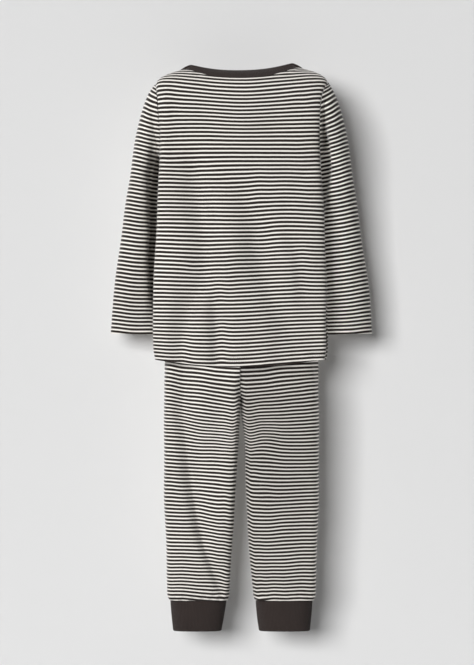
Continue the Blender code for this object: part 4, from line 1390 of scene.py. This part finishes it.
def waistbandPiece(name):
    pointAt = functools.partial(bandPoint, waistband, 1)
    wall, columns = waistband["wall"], waistband["columns"]
    _, height, inset, points, out = bandGrid(
        pointAt, columns, waistband["steps"], wall, waistband["roundTop"])
    part = np.arange(columns) / columns
    uneven = part * waistband["gathers"]
    for share, count in waistband["unevenGathers"]:
        uneven = uneven + share * np.sin(2 * math.pi * part * count)
    gather = np.cos(2 * math.pi * uneven)[:, None]
    sink, width = waistband["stitchSink"]
    lines = sum(near(height - line, width) for line in waistband["stitchLines"])
    relief = waistband["gatherDepth"] * (gather * 0.5 - 0.5) * (1 - 0.5 * near(height - 1, 0.2))
    relief = relief - sink * lines
    points = points + (relief * (1 - 2 * inset / wall))[..., None] * out
    step = evenTurns(pointAt, columns)[1] / columns * waistband["stretch"]
    clothMap = bandMap(columns, step, height, *waistband["flat"])
    return ringPiece(name, points, clothMap, jerseyLook)


waistPiece = waistbandPiece("waistCasing")
print("waistband made")


# Stitching

stitch = {
    "length": 2.5,
    "pitch": 3.1,
    "thick": 0.42,
    "rise": 0.1,
    "rows": (12.6, 7.0),  # distances above the hem edge, one stripe apart
}


def stitchRow(bm, points, ways):
    # one short rounded thread after another along a line on the cloth
    run = running(np.linalg.norm(np.diff(points, axis=0), axis=1))
    length, half = stitch["length"], stitch["thick"] / 2

    def onLine(values, place):
        return np.array([np.interp(place, run, values[:, k]) for k in range(3)])

    for start in np.arange(1.0, run[-1] - length, stitch["pitch"]):
        first, last = onLine(points, start), onLine(points, start + length)
        along = Vector(last - first).normalized()
        across = along.cross(Vector(onLine(ways, start))).normalized()
        up = across.cross(along)
        middle = Vector((first + last) / 2) + up * stitch["rise"]
        turn = Matrix((along, across, up)).transposed().to_4x4()
        size = Matrix.Diagonal((length / 2, half, half, 1.0))
        place = Matrix.Translation(middle * mm) @ Matrix.Scale(mm, 4) @ turn @ size
        bmesh.ops.create_uvsphere(bm, u_segments=6, v_segments=5, radius=1.0, matrix=place)


def hemStitches(name, panels):
    bm = bmesh.new()
    for _, outside, way, fromHem in panels:
        columns = np.arange(outside.shape[1], dtype=float)
        for distance in stitch["rows"]:
            rowPlace = np.array([
                np.interp(-distance, -hem, np.arange(len(outside))) for hem in fromHem.T])
            stitchRow(bm, *(onGrid(grid, rowPlace, columns)[2:-2] for grid in (outside, way)))
    return finishPiece(name, meshFrom(bm, name), threadLook)


bodyStitches = hemStitches("bodyHemStitches", (backPiece, frontPiece))
sleeveStitches = hemStitches("sleeveHemStitches", (leftSleeve, rightSleeve))
print("stitching made")


# What each piece stands for

cuts = (
    # piece, node, slot, flat size, how it is held, area of the cut
    (backPiece[0], "top_back", "striped_jersey", (0.31, 0.42), "hung", 0.118),
    (frontPiece[0], "top_front", "striped_jersey", (0.33, 0.42), "hung", 0.118),
    (leftSleeve[0], "sleeve_left", "striped_jersey", (0.22, 0.36), "hung", 0.058),
    (rightSleeve[0], "sleeve_right", "striped_jersey", (0.22, 0.36), "hung", 0.058),
    (leftLeg, "leg_left", "striped_jersey", (0.33, 0.46), "hung", 0.125),
    (rightLeg, "leg_right", "striped_jersey", (0.33, 0.46), "hung", 0.125),
    (ribPiece, "neck_rib", "rib_knit", (0.37, 0.018), "stretched", None),
    (cuffPieces[0], "cuff_left", "rib_knit", (0.20, 0.042), "stretched", None),
    (cuffPieces[1], "cuff_right", "rib_knit", (0.20, 0.042), "stretched", None),
    (waistPiece, "waistband", "covered_elastic", (0.52, 0.029), "gathered", None),
)
for piece, node, slotName, flat, held, area in cuts:
    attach(piece, body)
    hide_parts(node)
for piece in (bodyStitches, sleeveStitches):
    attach(piece, body)


# Stage, light and camera

stageSettings = {
    "wallY": 0.085,
    "floorZ": -1.0,
    "size": 6.0,
    "wallColour": "#dcdcdc",
}


def stageMaterial(name, colour):
    # Matt painted board: one-sided, so that it never hides the set from behind, and lets light
    # from behind it through.
    material, shader = newMaterial(name, {
        "Base Color": linear(colour), "Roughness": 0.95, "Specular IOR Level": 0.1})
    back = addNode(material, "NewGeometry").outputs["Backfacing"]
    shadow = addNode(material, "LightPath").outputs["Is Shadow Ray"]
    clear = addNode(material, "Math", {"operation": "MAXIMUM"}, {0: back, 1: shadow})
    mix = addNode(material, "MixShader", None, {
        0: clear, 1: shader, 2: addNode(material, "BsdfTransparent")})
    output = material.node_tree.nodes["Material Output"]
    material.node_tree.links.new(mix.outputs[0], output.inputs["Surface"])
    return material


def stageSheet(name, matrix, material):
    bm = bmesh.new()
    half = stageSettings["size"] / 2
    bmesh.ops.create_grid(bm, x_segments=1, y_segments=1, size=half, matrix=matrix)
    mesh = meshFrom(bm, name)
    mesh.materials.append(material)
    linked(bpy.data.objects.new(name, mesh))


board = stageMaterial("mattBoard", stageSettings["wallColour"])
upright = Matrix.Rotation(math.radians(90), 4, "X")
stageSheet("backdrop", Matrix.Translation((0, stageSettings["wallY"], 0)) @ upright, board)
stageSheet("floor", Matrix.Translation((0, 0, stageSettings["floorZ"])), board)

lights = {
    # degrees to the left and up from the camera's side, distance, width, height, watts, what is
    # lit and the height aimed at
    "wallKey": (20.0, 10.0, 20.0, 9.7, 6.3, 3950.0, "studio", -0.38),
    "key": (33.0, 16.0, 8.0, 3.2, 2.6, 274.0, "pyjamas", -0.38),
    "sideKey": (33.0, 16.0, 8.0, 3.2, 2.6, 404.0, "leftAndBody", -0.38),
    "sleeveKey": (33.0, 16.0, 8.0, 3.2, 2.6, 230.0, "rightSleeve", -0.38),
    "sleeveEnd": (33.0, -30.0, 0.8, 0.4, 0.4, 2.8, "rightSleeve", -0.40),
    "legKey": (26.0, -36.0, 0.6, 0.3, 0.3, 1.7, "rightLeg", -0.72),
    "legEdge": (-72.0, 6.0, 4.0, 1.0, 1.6, 26.0, "rightLeg", -0.58),
    "fill": (-50.0, 4.0, 4.0, 1.6, 1.6, 25.0, "pyjamas", -0.38),
    "rearKey": (168.0, 14.0, 5.0, 2.4, 2.0, 150.0, "pyjamas", -0.38),
}
litNames = ("studio", "pyjamas", "leftAndBody", "rightLeg", "rightSleeve")
litPieces = {name: bpy.data.collections.new(name) for name in litNames}
for piece in list(bpy.context.scene.objects):
    if piece.type == "MESH":
        onStage = piece.name in ("backdrop", "floor")
        own = piece.name if piece.name in litNames else "leftAndBody"
        for group in ("studio",) if onStage else ("pyjamas", own):
            litPieces[group].objects.link(piece)
for name, (left, up, distance, width, height, watts, lit, aim) in lights.items():
    lamp = bpy.data.lights.new(name, "AREA")
    lamp.shape = "RECTANGLE"
    lamp.size, lamp.size_y, lamp.energy = width, height, watts
    turn, rise = math.radians(left), math.radians(up)
    level = math.cos(rise)
    way = Vector((-math.sin(turn) * level, -math.cos(turn) * level, math.sin(rise)))
    holder = linked(bpy.data.objects.new(name, lamp))
    holder.location = Vector((0.0, 0.0, aim)) + way * distance
    holder.rotation_euler = way.to_track_quat("Z", "Y").to_euler()
    holder.visible_camera = False
    holder.light_linking.receiver_collection = litPieces[lit]
    if name == "sleeveEnd":
        holder.light_linking.blocker_collection = litPieces[lit]  # the body throws it no shadow

world = bpy.data.worlds.new("softRoom")
world.use_nodes = True
background = world.node_tree.nodes["Background"]
background.inputs["Color"].default_value = linear("#e8e9ea")
background.inputs["Strength"].default_value = 0.06
bpy.context.scene.world = world

cameraSettings = {
    "distance": 4.6,
    "x": -0.0063,
    "z": -0.3647,
    "frameHeight": 0.931,  # metres shown from top to bottom at the origin's depth
    "sensor": 36.0,
}
camera = bpy.data.cameras.new("camera")
camera.sensor_width = cameraSettings["sensor"]
camera.lens = cameraSettings["sensor"] * cameraSettings["distance"] / cameraSettings["frameHeight"]
cameraHolder = linked(bpy.data.objects.new("camera", camera))
cameraHolder.location = (cameraSettings["x"], -cameraSettings["distance"], cameraSettings["z"])
cameraHolder.rotation_euler = (math.radians(90), 0.0, 0.0)
bpy.context.scene.camera = cameraHolder
bpy.context.scene.view_settings.view_transform = "Standard"
print("stage, lights and camera made")

bpy.context.view_layer.update()
